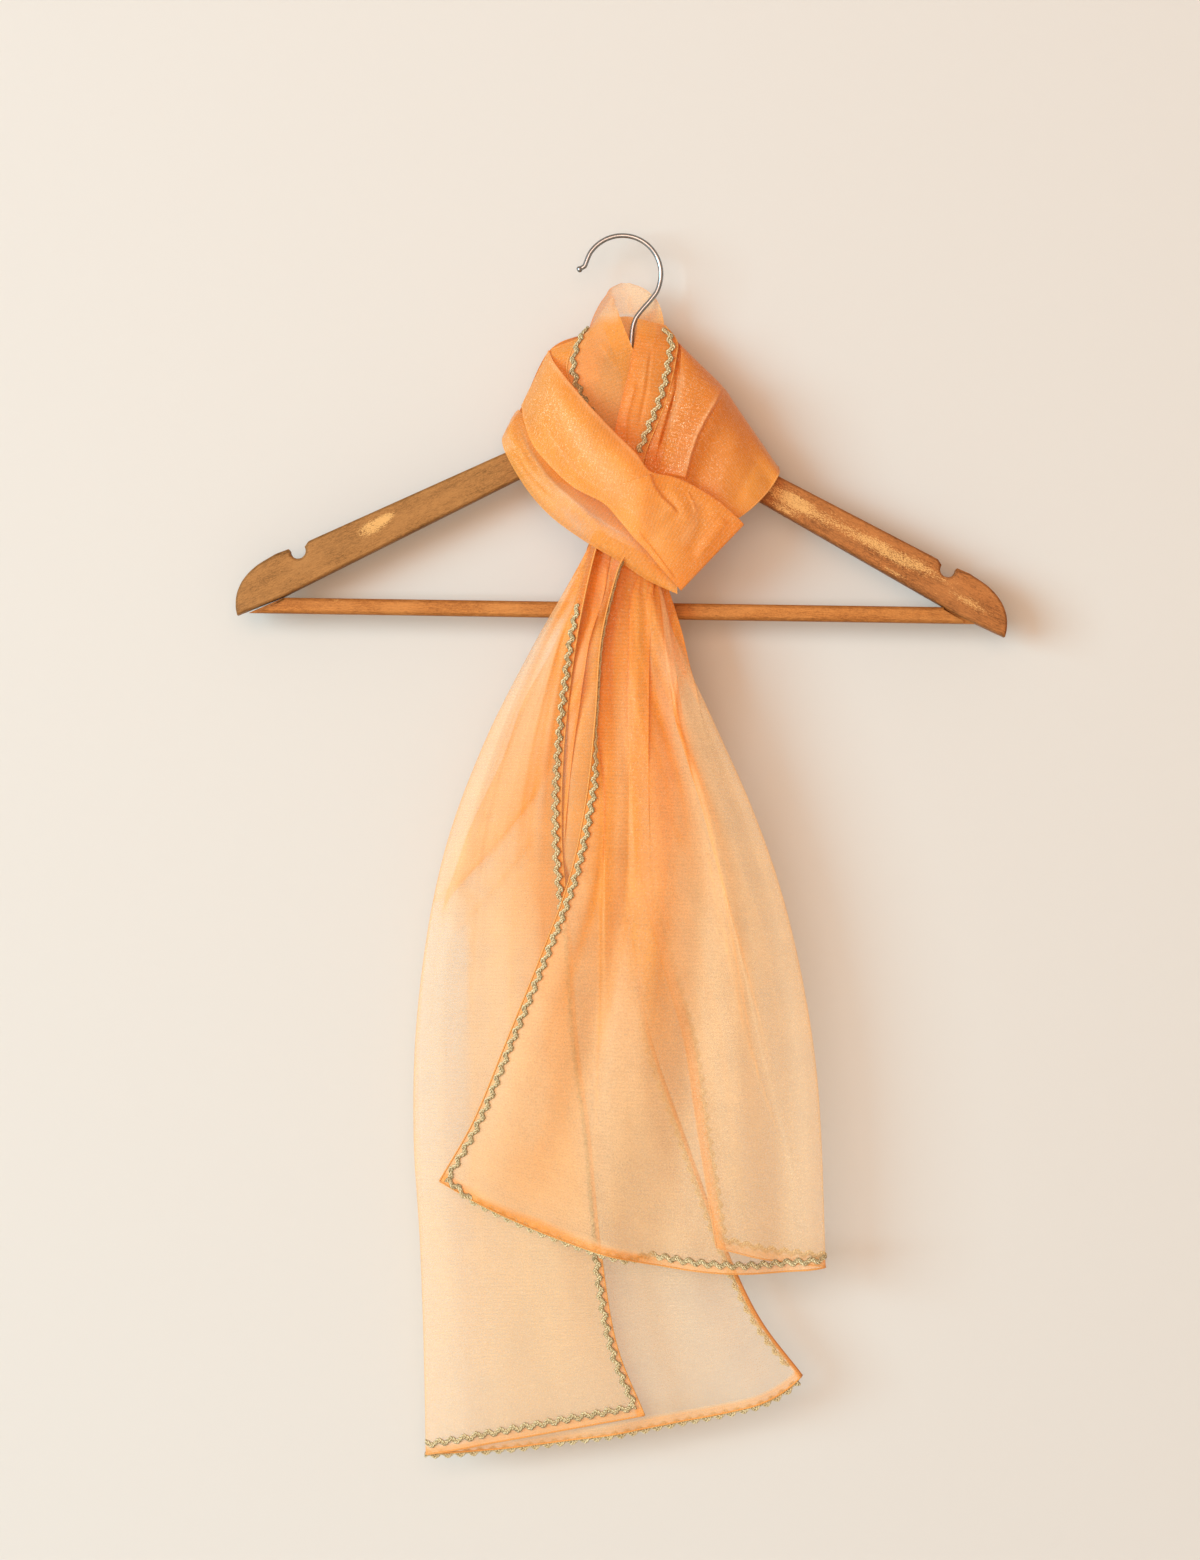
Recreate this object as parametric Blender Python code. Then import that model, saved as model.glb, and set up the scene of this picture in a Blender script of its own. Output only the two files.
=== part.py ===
"""A sheer net stole with braid-trimmed edges, wound round the neck of a wooden
coat hanger and knotted so that both of its ends hang down in front.

All tables are in millimetres in the hanger's hanging plane: x to the right, z up,
y away from the front. The origin is where the hook rests on whatever holds it.
"""

import math

import bmesh
import bpy
import numpy as np

MM = 0.001

# ---------------------------------------------------------------- driving sizes
CLOTH = 1.0           # wall of each cloth panel
SEAM = 0.3            # gap between neighbouring pieces
TRIM_WIDTH = 4.4      # braid sewn beside each edge
TRIM_THICK = 0.8
HEM = 5.0             # plain hem left outside the braid

LEAN = 1.64           # degrees: the hanger hangs a little right side down
AXIS_X = 7.0          # the wooden part's centre line, right of the hanging point
HALF_SPAN = 222.6
WOOD = 12.0           # thickness of the arms, front to back
BAR = 9.0             # trouser bar, front to back and nearly as tall
WIRE = 2.8            # hook wire diameter
HOOK_RADIUS = 22.3
HOOK_CENTRE = (1.4, WIRE / 2 - HOOK_RADIUS)

# Arm outline in the hanger's own frame, distances from its centre line and from
# the hanging point down. One row for each corner, from the neck round the tip.
ARM = [
    # out     down
    (0.15, 64.0),
    (9.5, 64.6),
    (13.4, 69.0),
    (15.4, 80.0),
    (20.0, 94.0),
    (32.0, 107.4),
    (87.0, 134.7),
    (182.0, 180.7),
    (184.0, 186.0),
    (186.8, 190.4),
    (190.4, 189.6),
    (192.8, 185.4),
    (200.5, 188.5),
    (211.5, 195.8),
    (218.5, 203.5),
    (222.0, 211.5),
    (222.6, 219.0),
    (221.6, 224.4),
    (195.2, 213.0),
    (60.8, 140.9),
    (22.0, 121.5),
    (0.15, 116.0),
]

# The trouser bar's ends in the same frame: it sits a little out of level.
BAR_ENDS = [
    # side  top_out  top_down  low_out  low_down
    ("left", 193.2, 213.4, 213.2, 222.8),
    ("right", 184.2, 208.0, 202.8, 217.2),
]

# The ball on the hook's free end: distance past the wire's end and radius over
# the wire's.
BALL = [(5.0, 0.45), (4.7, 0.95), (4.1, 1.25), (3.4, 1.3), (2.7, 1.15), (2.2, 0.95), (1.0, 1.0)]

# ------------------------------------------------------------ shared tools


def curve_through(rows, count):
    """count points evenly along the smooth curve through rows (k x m numbers)."""
    rows = np.array(rows, float)
    k = len(rows)
    padded = np.concatenate([[2 * rows[0] - rows[1]], rows, [2 * rows[-1] - rows[-2]]])
    at = np.linspace(0, k - 1, count)
    i = np.minimum(at.astype(int), k - 2)
    t = (at - i).reshape((-1,) + (1,) * (rows.ndim - 1))
    a, b, c, d = padded[i], padded[i + 1], padded[i + 2], padded[i + 3]
    return 0.5 * (
        2 * b + (c - a) * t + (2 * a - 5 * b + 4 * c - d) * t**2 + (3 * b - a - 3 * c + d) * t**3
    )


def loft(sections, along, across):
    """A grid (along x across x 3) through sections, each a list of (x, y, z)."""
    grid = curve_through(np.array(sections, float), along)
    return np.swapaxes(curve_through(np.swapaxes(grid, 0, 1), across), 0, 1)


def normals_of(grid):
    du = np.gradient(grid, axis=0)
    dv = np.gradient(grid, axis=1)
    n = np.cross(du, dv)
    return n / np.maximum(np.linalg.norm(n, axis=2, keepdims=True), 1e-9)


def material(name, colour, roughness, metallic=0.0):
    made = bpy.data.materials.new(name)
    made.use_nodes = True
    shader = made.node_tree.nodes["Principled BSDF"]
    shader.inputs["Base Color"].default_value = (*colour, 1)
    shader.inputs["Roughness"].default_value = roughness
    shader.inputs["Metallic"].default_value = metallic
    return made


def add_object(name, points, faces, colour, roughness=0.6, metallic=0.0, smooth=True):
    mesh = bpy.data.meshes.new(name)
    mesh.from_pydata([tuple(p) for p in np.asarray(points) * MM], [], faces)
    work = bmesh.new()
    work.from_mesh(mesh)
    bmesh.ops.recalc_face_normals(work, faces=work.faces)
    bmesh.ops.triangulate(work, faces=work.faces)
    if work.calc_volume(signed=True) < 0:
        bmesh.ops.reverse_faces(work, faces=work.faces)
    work.to_mesh(mesh)
    work.free()
    if smooth:
        mesh.shade_smooth()
    obj = bpy.data.objects.new(name, mesh)
    bpy.context.scene.collection.objects.link(obj)
    mesh.materials.append(material(name, colour, roughness, metallic))
    return obj


def wall(grid, thickness, shift=0.0):
    """Points and faces of the closed wall on a grid, moved out by shift."""
    n = normals_of(grid)
    outer = grid + n * (shift + thickness / 2)
    inner = grid + n * (shift - thickness / 2)
    rows, cols = grid.shape[:2]
    points = np.concatenate([outer.reshape(-1, 3), inner.reshape(-1, 3)])
    back = rows * cols

    def at(r, c):
        return r * cols + c

    faces = []
    for r in range(rows - 1):
        for c in range(cols - 1):
            a, b, d, e = at(r, c), at(r, c + 1), at(r + 1, c + 1), at(r + 1, c)
            faces += [(a, b, d, e), (back + e, back + d, back + b, back + a)]
    ring = [at(0, c) for c in range(cols)]
    ring += [at(r, cols - 1) for r in range(1, rows)]
    ring += [at(rows - 1, c) for c in range(cols - 2, -1, -1)]
    ring += [at(r, 0) for r in range(rows - 2, 0, -1)]
    for a, b in zip(ring, ring[1:] + ring[:1]):
        faces.append((b, a, back + a, back + b))
    return points, faces


def cloth(name, grid, colour, shift=0.0, thickness=CLOTH):
    points, faces = wall(grid, thickness, shift)
    return add_object(name, points, faces, colour, 0.55)


# ------------------------------------------------------------------ the hanger


def leaned(points):
    """Own-frame (out, down, depth) points, turned by the lean about the hook."""
    a = math.radians(LEAN)
    out = []
    for x, down, y in points:
        out.append((x * math.cos(a) - down * math.sin(a), y, -(x * math.sin(a) + down * math.cos(a))))
    return out


def plate(name, outline, half, colour):
    """An outline extruded front to back, with its long edges eased."""
    count = len(outline)
    front = leaned([(x, d, -half) for x, d in outline])
    rear = leaned([(x, d, half) for x, d in outline])
    faces = [tuple(range(count)), tuple(range(2 * count - 1, count - 1, -1))]
    faces += [(i, (i + 1) % count, count + (i + 1) % count, count + i) for i in range(count)]
    obj = add_object(name, front + rear, faces, colour, 0.5, smooth=False)
    return obj


def build_hanger():
    brown = (0.36, 0.19, 0.08)
    for side, name in ((-1, "hanger_arm_left"), (1, "hanger_arm_right")):
        plate(name, [(AXIS_X + side * x, d) for x, d in ARM], WOOD / 2, brown)
    (_, lx, lz, lx2, lz2), (_, rx, rz, rx2, rz2) = BAR_ENDS
    bar = [(AXIS_X - lx, lz), (AXIS_X + rx, rz), (AXIS_X + rx2, rz2), (AXIS_X - lx2, lz2)]
    plate("hanger_bar", bar, BAR / 2, (0.40, 0.20, 0.09))

    # The hook: most of a circle from its free end, then a reverse bend to the shank.
    start, end = 168.0, -24.0
    route = []
    for i in range(9):
        a = math.radians(start + (end - start) * i / 8)
        route.append((HOOK_CENTRE[0] + HOOK_RADIUS * math.cos(a), 0.0, HOOK_CENTRE[1] + HOOK_RADIUS * math.sin(a)))
    route += [
        (17.6, 0.0, -36.0),
        (13.0, 0.0, -41.2),
        (9.3, 0.0, -46.2),
        (7.4, 0.0, -51.8),
        (6.8, 0.0, -57.5),
        (6.5, 0.0, -63.4),
    ]
    line = curve_through(route, 52)
    # The free end is drawn out a little and finished with a small ball.
    tip, ahead = line[0], line[0] - line[1]
    ahead = ahead / np.linalg.norm(ahead)
    ahead = np.array([ahead[0] - 0.75, 0.0, ahead[2] + 0.25])
    ahead = ahead / np.linalg.norm(ahead)
    ends = [tip + ahead * d for d, _ in BALL]
    sizes = [r for _, r in BALL] + [1.0] * len(line)
    line = np.concatenate([ends, line])
    curve = bpy.data.curves.new("hanger_hook", "CURVE")
    curve.dimensions = "3D"
    curve.bevel_depth = WIRE / 2 * MM
    curve.bevel_resolution = 2
    curve.use_fill_caps = True
    spline = curve.splines.new("POLY")
    spline.points.add(len(line) - 1)
    for point, p, size in zip(spline.points, line, sizes):
        point.co = (*(p * MM), 1)
        point.radius = size
    hook = bpy.data.objects.new("hanger_hook", curve)
    bpy.context.scene.collection.objects.link(hook)
    curve.materials.append(material("hanger_hook", (0.55, 0.55, 0.56), 0.3, 1.0))


# ---------------------------------------------------------- the wound stretches

# The collar behind the hook: one row for each level of its rounded peak.
COLLAR = [
    # level  left   right  side_y  mid_y
    (-25.2, 0.8, 5.6, 6.0, 7.0),
    (-28.4, -5.4, 13.6, 4.5, 9.0),
    (-33.0, -8.4, 19.2, 3.0, 11.0),
    (-38.2, -12.0, 22.8, 2.2, 12.0),
    (-46.0, -15.8, 25.0, 2.0, 12.5),
    (-55.4, -18.6, 26.0, 2.0, 12.5),
    (-70.0, -20.0, 26.0, 4.0, 12.0),
    (-86.0, -16.0, 24.0, 7.0, 11.5),
]

# Lapels: a row for each section down from the peak. "edge" is the braided edge,
# "fold" the edge that crosses at the neck.
LAPEL_LEFT = [
    # edge_x  edge_z  edge_y  fold_x  fold_z  fold_y
    (-18.0, -53.0, 0.6, -4.4, -34.0, 0.6),
    (-25.0, -60.0, -7.0, -1.2, -43.8, -8.0),
    (-29.4, -70.0, -9.6, 3.4, -55.5, -10.0),
    (-30.4, -79.5, -10.6, 8.0, -67.1, -11.0),
    (-25.4, -94.0, -11.4, 12.6, -80.5, -11.6),
    (-15.6, -111.0, -12.4, 18.3, -97.8, -12.4),
    (-3.0, -134.0, -13.6, 25.2, -123.8, -13.6),
    (8.0, -157.0, -14.6, 29.7, -152.7, -14.6),
]
LAPEL_RIGHT = [
    # edge_x  edge_z  edge_y  fold_x  fold_z  fold_y
    (26.0, -50.6, -0.4, 10.3, -47.4, -7.0),
    (32.6, -60.5, -8.4, 9.1, -57.6, -13.4),
    (32.2, -69.8, -11.0, 7.4, -66.3, -14.4),
    (29.6, -83.6, -12.8, 4.5, -80.8, -15.4),
    (25.6, -98.0, -14.4, 1.1, -94.1, -16.2),
    (19.8, -112.2, -15.8, -2.4, -109.7, -17.0),
    (13.4, -130.0, -17.6, -5.8, -129.9, -18.4),
    (10.4, -155.0, -19.0, -8.1, -155.8, -19.4),
]

# The shoulders: sections from inside the knot up and over each arm.
SHOULDER_LEFT = [
    # outer_x outer_z outer_y inner_x inner_z inner_y
    (-40.1, -63.6, 4.0, -21.0, -56.2, 4.0),
    (-38.6, -70.5, -3.0, -19.0, -63.0, -3.4),
    (-33.5, -80.0, -6.0, -14.5, -72.0, -5.6),
    (-26.0, -88.0, -7.6, -11.0, -82.0, -7.2),
]
SHOULDER_RIGHT = [
    # tuck_x tuck_y  left_x left_z left_y  ridge_x ridge_z ridge_y  right_x right_z right_y
    (18.2, -22.0, 19.5, -143.0, -24.0, 37.0, -145.5, -27.0, 66.5, -164.0, -25.0),
    (23.4, -17.0, 26.5, -122.0, -21.5, 40.6, -127.5, -26.5, 73.4, -159.0, -22.5),
    (22.4, -9.8, 30.4, -98.9, -19.0, 51.2, -105.0, -25.0, 80.4, -152.4, -19.0),
    (25.0, -7.6, 35.0, -78.5, -15.0, 56.6, -94.5, -20.0, 86.6, -145.0, -14.0),
    (28.4, -3.0, 35.4, -64.5, -7.6, 59.4, -88.0, -10.0, 91.2, -137.0, -10.5),
    (28.8, 4.2, 31.4, -57.6, 4.0, 60.2, -86.2, 4.0, 91.6, -132.0, 4.0),
]

# The stretch behind the neck, from the right shoulder round to the left one:
# four points across each section, from its top edge to its bottom edge.
BACK_WRAP = [
    # top x, y, z          upper x, y, z           lower x, y, z            bottom x, y, z
    ((31.4, 5.0, -57.6), (47.5, 5.0, -73.5), (61.0, 5.0, -88.5), (91.6, 5.0, -132.0)),
    ((29.0, 12.0, -55.0), (43.0, 12.0, -76.0), (60.0, 12.0, -100.0), (88.0, 10.6, -136.0)),
    ((19.0, 16.5, -47.5), (26.0, 20.0, -78.0), (38.0, 20.5, -112.0), (52.0, 15.0, -146.0)),
    ((4.0, 17.5, -43.2), (5.0, 22.0, -78.0), (6.0, 23.0, -115.0), (8.0, 16.0, -150.0)),
    ((-10.0, 16.5, -46.5), (-14.0, 20.0, -76.0), (-24.0, 20.5, -108.0), (-34.0, 15.0, -140.0)),
    ((-17.0, 12.0, -52.0), (-36.0, 12.0, -72.0), (-50.0, 12.0, -96.0), (-58.0, 10.0, -122.0)),
    ((-17.8, 5.0, -53.8), (-40.8, 5.0, -64.4), (-57.0, 5.0, -97.0), (-66.4, 5.0, -111.0)),
]

# The band across the front, from the left shoulder down to the knot, and the
# knot's fold that carries on from it and turns in.
BAND = [
    # ridge_x ridge_z ridge_y  low_x  low_z  low_y  puff
    (-41.6, -64.8, 4.0, -57.2, -96.4, 4.0, 0.0),
    (-38.6, -73.0, -10.0, -55.0, -108.0, -10.0, 3.0),
    (-32.6, -82.0, -20.0, -48.0, -124.6, -24.0, 5.0),
    (-17.3, -101.0, -29.0, -28.6, -145.2, -33.0, 5.5),
    (-1.9, -117.4, -34.0, -9.9, -155.9, -37.0, 5.0),
    (8.9, -128.4, -37.0, -0.2, -166.3, -39.0, 4.5),
    (16.8, -138.6, -39.0, 7.2, -175.4, -40.0, 4.0),
]
KNOT_FOLD = [
    # ridge_x ridge_z ridge_y  low_x  low_z  low_y  puff
    (17.6, -139.2, -38.0, 8.0, -176.2, -40.0, 3.6),
    (29.4, -141.4, -35.0, 14.0, -182.2, -40.0, 3.0),
    (41.9, -146.9, -35.0, 20.2, -189.6, -39.0, 3.0),
    (56.1, -155.9, -34.0, 27.1, -197.4, -37.0, 2.5),
    (69.2, -167.6, -32.0, 34.3, -205.2, -34.0, 1.0),
    (66.0, -168.0, -29.6, 33.0, -203.4, -31.4, 0.0),
    (54.0, -163.0, -29.6, 30.0, -197.0, -31.4, 0.0),
]

# The band's lower pleat: it stands off as a roll with a pocket above it.
ROLL = [
    # hid_x hid_z hid_y  top_x  top_z  top_y  out_x  out_z  out_y  puff
    (-58.8, -98.8, 4.0, -61.0, -100.8, 4.0, -66.2, -110.6, 4.0, 0.0),
    (-54.6, -104.0, -3.6, -60.8, -106.6, -6.6, -68.0, -118.4, -8.4, 2.0),
    (-42.0, -119.0, -18.0, -49.6, -127.4, -21.0, -63.4, -130.6, -17.0, 4.0),
    (-31.0, -134.0, -25.0, -37.0, -142.4, -28.0, -52.2, -148.8, -23.0, 4.5),
    (-20.0, -144.0, -28.0, -25.6, -150.6, -32.0, -38.4, -163.9, -27.0, 4.5),
    (-5.0, -155.0, -30.0, -10.4, -164.2, -33.0, -20.1, -177.1, -28.0, 4.0),
    (10.0, -168.0, -29.8, 6.6, -175.6, -32.4, -1.9, -187.9, -28.0, 3.0),
    (21.0, -182.0, -28.8, 19.0, -188.6, -30.8, 13.3, -197.4, -27.6, 2.0),
    (29.0, -195.0, -27.0, 28.6, -200.4, -27.8, 26.6, -205.2, -27.2, 0.6),
]


def pair_section(row, inset=0.0, out=0.0):
    (ax, az, ay), (bx, bz, by) = row
    points = []
    for t in (0.0, 0.33, 0.67, 1.0):
        bow = out * 4 * t * (1 - t)
        points.append((ax + (bx - ax) * t, ay + (by - ay) * t - bow, az + (bz - az) * t))
    return points


def collar_grid(along, across):
    sections = []
    for level, left, right, side_y, mid_y in COLLAR:
        ts = (0.0, 0.15, 0.5, 0.85, 1.0)
        bow = (0.0, 0.55, 1.0, 0.55, 0.0)
        sections.append(
            [(left + (right - left) * t, side_y + (mid_y - side_y) * b, level) for t, b in zip(ts, bow)]
        )
    return loft(sections, along, across)


def lapel_grid(table, bow, along, across):
    sections = []
    for ex, ez, ey, fx, fz, fy in table:
        sections.append(pair_section(((ex, ez, ey), (fx, fz, fy)), out=bow))
    return loft(sections, along, across)


def shoulder_right_grid(along, across):
    sections = []
    for tx, ty, lx, lz, ly, rx, rz, ry, ex, ez, ey in SHOULDER_RIGHT:
        step = 1.0 if ry < 0 else 0.0
        sections.append(
            [
                (tx, ty, lz + 1.0),
                (lx - 0.8, ty + (ly - ty) * 0.3, lz + 0.5),
                (lx, ly, lz),
                (lx + (rx - lx) * 0.45, ly + (ry - ly) * 0.75, lz + (rz - lz) * 0.45),
                (rx, ry, rz),
                (rx + (ex - rx) * 0.22, ry + (3.6 * step), rz + (ez - rz) * 0.22),
                (rx + (ex - rx) * 0.6, (ry + ey) / 2 + 0.6 * step, rz + (ez - rz) * 0.6),
                (ex, ey, ez),
            ]
        )
    return loft(sections, along, across)


def band_grid(table, along, across):
    sections = []
    for rx, rz, ry, lx, lz, ly, puff in table:
        turn = 1.6 if puff > 0.5 else 0.0
        mid = (rx + lx) / 2, (rz + lz) / 2
        sections.append(
            [
                (rx + (mid[0] - rx) * 0.03, ry + turn, rz + (mid[1] - rz) * 0.03),
                (rx, ry, rz),
                (rx + (lx - rx) * 0.3, ry + (ly - ry) * 0.3 - puff, rz + (lz - rz) * 0.3),
                (rx + (lx - rx) * 0.7, ry + (ly - ry) * 0.7 - puff, rz + (lz - rz) * 0.7),
                (lx, ly, lz),
            ]
        )
    return loft(sections, along, across)


def roll_grid(along, across):
    sections = []
    for hx, hz, hy, tx, tz, ty, ox, oz, oy, puff in ROLL:
        sections.append(
            [
                (hx, hy, hz),
                (tx, ty, tz),
                (tx + (ox - tx) * 0.4, (ty + oy) / 2 - puff, tz + (oz - tz) * 0.4),
                (tx + (ox - tx) * 0.8, (ty + oy) / 2 - puff * 0.5, tz + (oz - tz) * 0.8),
                (ox, oy, oz),
            ]
        )
    return loft(sections, along, across)


# ------------------------------------------------------------------- the tails

# Each tail is folded lengthwise. A row for each level: the front layer's free
# edge, the fold, and the back layer's free edge; "front" and "back" are depths.
REAR_TAIL = [
    # edge_x  edge_z  fold_x  fold_z  back_x  back_z  front  back
    (-8.0, -172.0, -14.0, -170.0, 15.4, -184.0, -19.0, -9.5),
    (-14.4, -183.0, -20.6, -183.0, 14.6, -200.0, -19.5, -9.5),
    (-25.0, -233.2, -48.8, -233.0, 12.6, -232.7, -19.5, -9.5),
    (-32.0, -290.4, -78.2, -290.3, 8.0, -290.2, -17.5, -9.0),
    (-33.6, -347.7, -100.0, -347.8, 4.0, -347.8, -16.5, -8.8),
    (-28.4, -405.1, -112.2, -405.3, 7.0, -405.4, -15.8, -8.8),
    (-24.6, -462.5, -119.1, -462.8, 17.5, -463.0, -15.4, -8.8),
    (-17.1, -519.9, -120.3, -520.3, 37.5, -520.6, -15.2, -8.8),
    (-11.9, -577.3, -116.8, -577.8, 58.5, -578.2, -15.2, -8.8),
    (-2.5, -636.0, -114.5, -640.0, 79.0, -622.3, -15.2, -8.8),
    (14.0, -678.0, -113.4, -701.0, 104.5, -656.5, -15.2, -8.8),
]
FRONT_TAIL = [
    # edge_x  edge_z  fold_x  fold_z  back_x  back_z  front  back
    (3.6, -184.0, 20.5, -190.0, 12.4, -189.0, -23.0, -14.5),
    (-2.0, -195.5, 24.4, -204.7, 10.4, -204.3, -24.6, -15.0),
    (-11.0, -233.5, 32.4, -233.3, 6.2, -233.0, -27.2, -18.6),
    (-14.4, -279.1, 54.7, -281.8, 4.4, -278.9, -28.0, -20.6),
    (-19.5, -324.7, 75.3, -327.6, 6.2, -324.7, -28.0, -21.0),
    (-29.2, -370.3, 91.9, -373.3, 12.0, -370.6, -28.0, -21.2),
    (-46.2, -416.0, 103.4, -419.0, 23.5, -416.4, -28.0, -21.2),
    (-64.6, -461.6, 111.9, -466.5, 36.5, -462.2, -28.0, -21.2),
    (-83.4, -507.3, 115.9, -513.4, 43.5, -508.0, -28.0, -21.2),
    (-103.2, -542.2, 118.2, -591.5, 55.0, -581.0, -28.0, -21.2),
]

# Soft lengthwise pleats: where across the layer, how wide, how deep at the knot
# and at the hem. Layer 0 is the front one and 1 the back one.
REAR_PLEATS = [
    # layer  at    width  deep_top  deep_hem
    (0, 0.55, 0.22, 0.4, -0.9),
    (1, 0.22, 0.10, 1.4, 0.9),
    (1, 0.45, 0.12, -1.6, -1.0),
    (1, 0.72, 0.10, 1.5, 0.8),
]
FRONT_PLEATS = [
    # layer  at    width  deep_top  deep_hem
    (0, 0.22, 0.09, 1.2, 0.8),
    (0, 0.44, 0.08, -1.6, -1.4),
    (0, 0.70, 0.09, 1.6, 1.3),
    (1, 0.50, 0.25, -0.8, -0.6),
]
REAR_SAG = (0.0, 9.5)    # how far each layer's hem hangs below its straight line
FRONT_SAG = (21.0, 2.0)


def tail_point(level, v, layer, t, pleats, sag):
    """A point of a tail: t runs 0 to 1 from the free edge to the fold."""
    ex, ez, fx, fz, bx, bz, front, back = level
    x, z = (ex, ez) if layer == 0 else (bx, bz)
    y = front if layer == 0 else back
    middle = (front + back) / 2
    near = 1 - (1 - min(1.0, (1 - t) * abs(fx - x) / (abs(front - back) * 1.6 + 1e-6))) ** 2
    depth = middle + (y - middle) * math.sqrt(max(0.0, near))
    for which, at, width, top, hem in pleats:
        if which == layer:
            depth += (top + (hem - top) * v) * math.exp(-(((t - at) / width) ** 2)) * near
    drop = sag[layer] * 4 * t * (1 - t) * v**6
    return (x + (fx - x) * t, depth, z + (fz - z) * t - drop)


def tail_grid(table, pleats, sag, along, spread):
    """spread holds the steps across each layer, front then back."""
    levels = curve_through(table, along)
    grid = []
    for i, level in enumerate(levels):
        v = i / (along - 1)
        row = [tail_point(level, v, 0, t, pleats, sag) for t in spread[0]]
        row += [tail_point(level, v, 1, t, pleats, sag) for t in reversed(spread[1])]
        grid.append(row)
    return np.array(grid)


def steps(count, fold_near=3):
    """Steps from a free edge to the fold, closer together beside the fold."""
    plain = np.linspace(0, 0.9, count)
    return list(plain) + [0.9 + 0.1 * k / fold_near for k in range(1, fold_near)]


def tail(name, table, pleats, sag, along, wide, colour):
    front = steps(wide[0]) + [1.0]
    rear = steps(wide[1])
    grid = tail_grid(table, pleats, sag, along, (front, rear))
    cloth(name, grid, colour)
    return grid


# ---------------------------------------------------------------------- braids


def along_line(line, start, end):
    """Places along a line of points: start and end mm in from its two ends, and
    every point between them."""
    lengths = np.linalg.norm(np.diff(line, axis=0), axis=1)
    run = np.concatenate([[0], np.cumsum(lengths)])
    low, high = np.interp([start, run[-1] - end], run, np.arange(len(run)))
    between = [i for i in range(len(run)) if low + 0.15 < i < high - 0.15]
    return np.array([low, *between, high])


def sample(values, at):
    low = np.minimum(at.astype(int), len(values) - 2)
    t = (at - low)[:, None]
    return values[low] * (1 - t) + values[low + 1] * t


def braid(name, grid, edge, face_y, start, end, span=None):
    """A flat braid beside one edge of a panel's grid, laid on one of its faces.

    edge is first, last (the side columns) or hem (the bottom row, of which span
    gives the columns); face_y is -1 for the front face and 1 for the rear one;
    start and end leave that much of the edge bare.
    """
    n = normals_of(grid)
    if edge == "hem":
        cols = slice(*span)
        lines, normals = grid[::-1, cols], n[::-1, cols]
    else:
        turn = 1 if edge == "first" else -1
        lines = np.swapaxes(grid[:, ::turn], 0, 1)
        normals = np.swapaxes(n[:, ::turn], 0, 1)
    # lines[k] now runs along the edge, k steps in from it.
    at = along_line(lines[0], start, end)
    count = len(at)
    lines = np.stack([sample(line, at) for line in lines])
    normals = np.stack([sample(normal, at) for normal in normals])
    normals = normals / np.linalg.norm(normals, axis=2, keepdims=True)
    normals = normals * np.sign(normals[0, :, 1].mean()) * face_y
    in_from = np.concatenate(
        [np.zeros((1, count)), np.cumsum(np.linalg.norm(np.diff(lines, axis=0), axis=2), axis=0)]
    )
    off = CLOTH / 2 + SEAM + TRIM_THICK / 2 + 0.25
    strip = np.zeros((count, 3, 3))
    for i in range(count):
        for k, into in enumerate((HEM - 1.2, HEM - 1.2 + TRIM_WIDTH / 2, HEM - 1.2 + TRIM_WIDTH)):
            for axis in range(3):
                place = np.interp(into, in_from[:, i], lines[:, i, axis])
                strip[i, k, axis] = place + off * np.interp(into, in_from[:, i], normals[:, i, axis])
    points, faces = wall(strip, TRIM_THICK)
    add_object(name, points, faces, (0.45, 0.36, 0.14), 0.45, 0.7)


def main():
    for obj in list(bpy.data.objects):
        bpy.data.objects.remove(obj, do_unlink=True)
    peach = (1.0, 0.36, 0.10)
    build_hanger()
    cloth("stole_collar_back", collar_grid(14, 9), peach)
    lapel_left = lapel_grid(LAPEL_LEFT, 0.6, 14, 6)
    lapel_right = lapel_grid(LAPEL_RIGHT, 0.8, 14, 6)
    cloth("stole_lapel_left", lapel_left, peach)
    cloth("stole_lapel_right", lapel_right, peach)
    braid("braid_lapel_left", lapel_left, "first", -1, 6.0, 40.0)
    braid("braid_lapel_right", lapel_right, "first", -1, 6.0, 30.0)
    cloth("stole_shoulder_left", lapel_grid(SHOULDER_LEFT, 0.4, 7, 5), peach)
    cloth("stole_shoulder_right", shoulder_right_grid(12, 15), peach)
    cloth("stole_back_wrap", loft(BACK_WRAP, 22, 8), peach)
    cloth("stole_front_band", band_grid(BAND, 16, 9), peach)
    cloth("stole_knot_fold", band_grid(KNOT_FOLD, 14, 9), peach)
    cloth("stole_band_roll", roll_grid(20, 8), peach)
    rear = tail("stole_tail_rear", REAR_TAIL, REAR_PLEATS, REAR_SAG, 26, (6, 10), peach)
    front = tail("stole_tail_front", FRONT_TAIL, FRONT_PLEATS, FRONT_SAG, 24, (12, 5), peach)
    braid("braid_rear_side", rear, "first", -1, 36.0, 9.0)
    braid("braid_rear_hem", rear, "hem", -1, 3.0, 0.5, (0, 6))
    braid("braid_rear_back_side", rear, "last", 1, 4.0, 9.0)
    braid("braid_rear_back_hem", rear, "hem", 1, 0.5, 3.0, (-10, None))
    braid("braid_front_side", front, "first", -1, 4.0, 9.0)
    braid("braid_front_hem", front, "hem", -1, 3.0, 0.5, (0, 12))
    braid("braid_front_back_side", front, "last", 1, 30.0, 9.0)
    braid("braid_front_back_hem", front, "hem", 1, 0.5, 3.0, (-5, None))


main()
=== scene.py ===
"""Looks of the sheer net stole on its wooden hanger.

Tables are in millimetres in the hanger's hanging plane (x right, z up, y away
from the front), the same as the solids' own, and become metres in the meshes.
"""
import math

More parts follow.
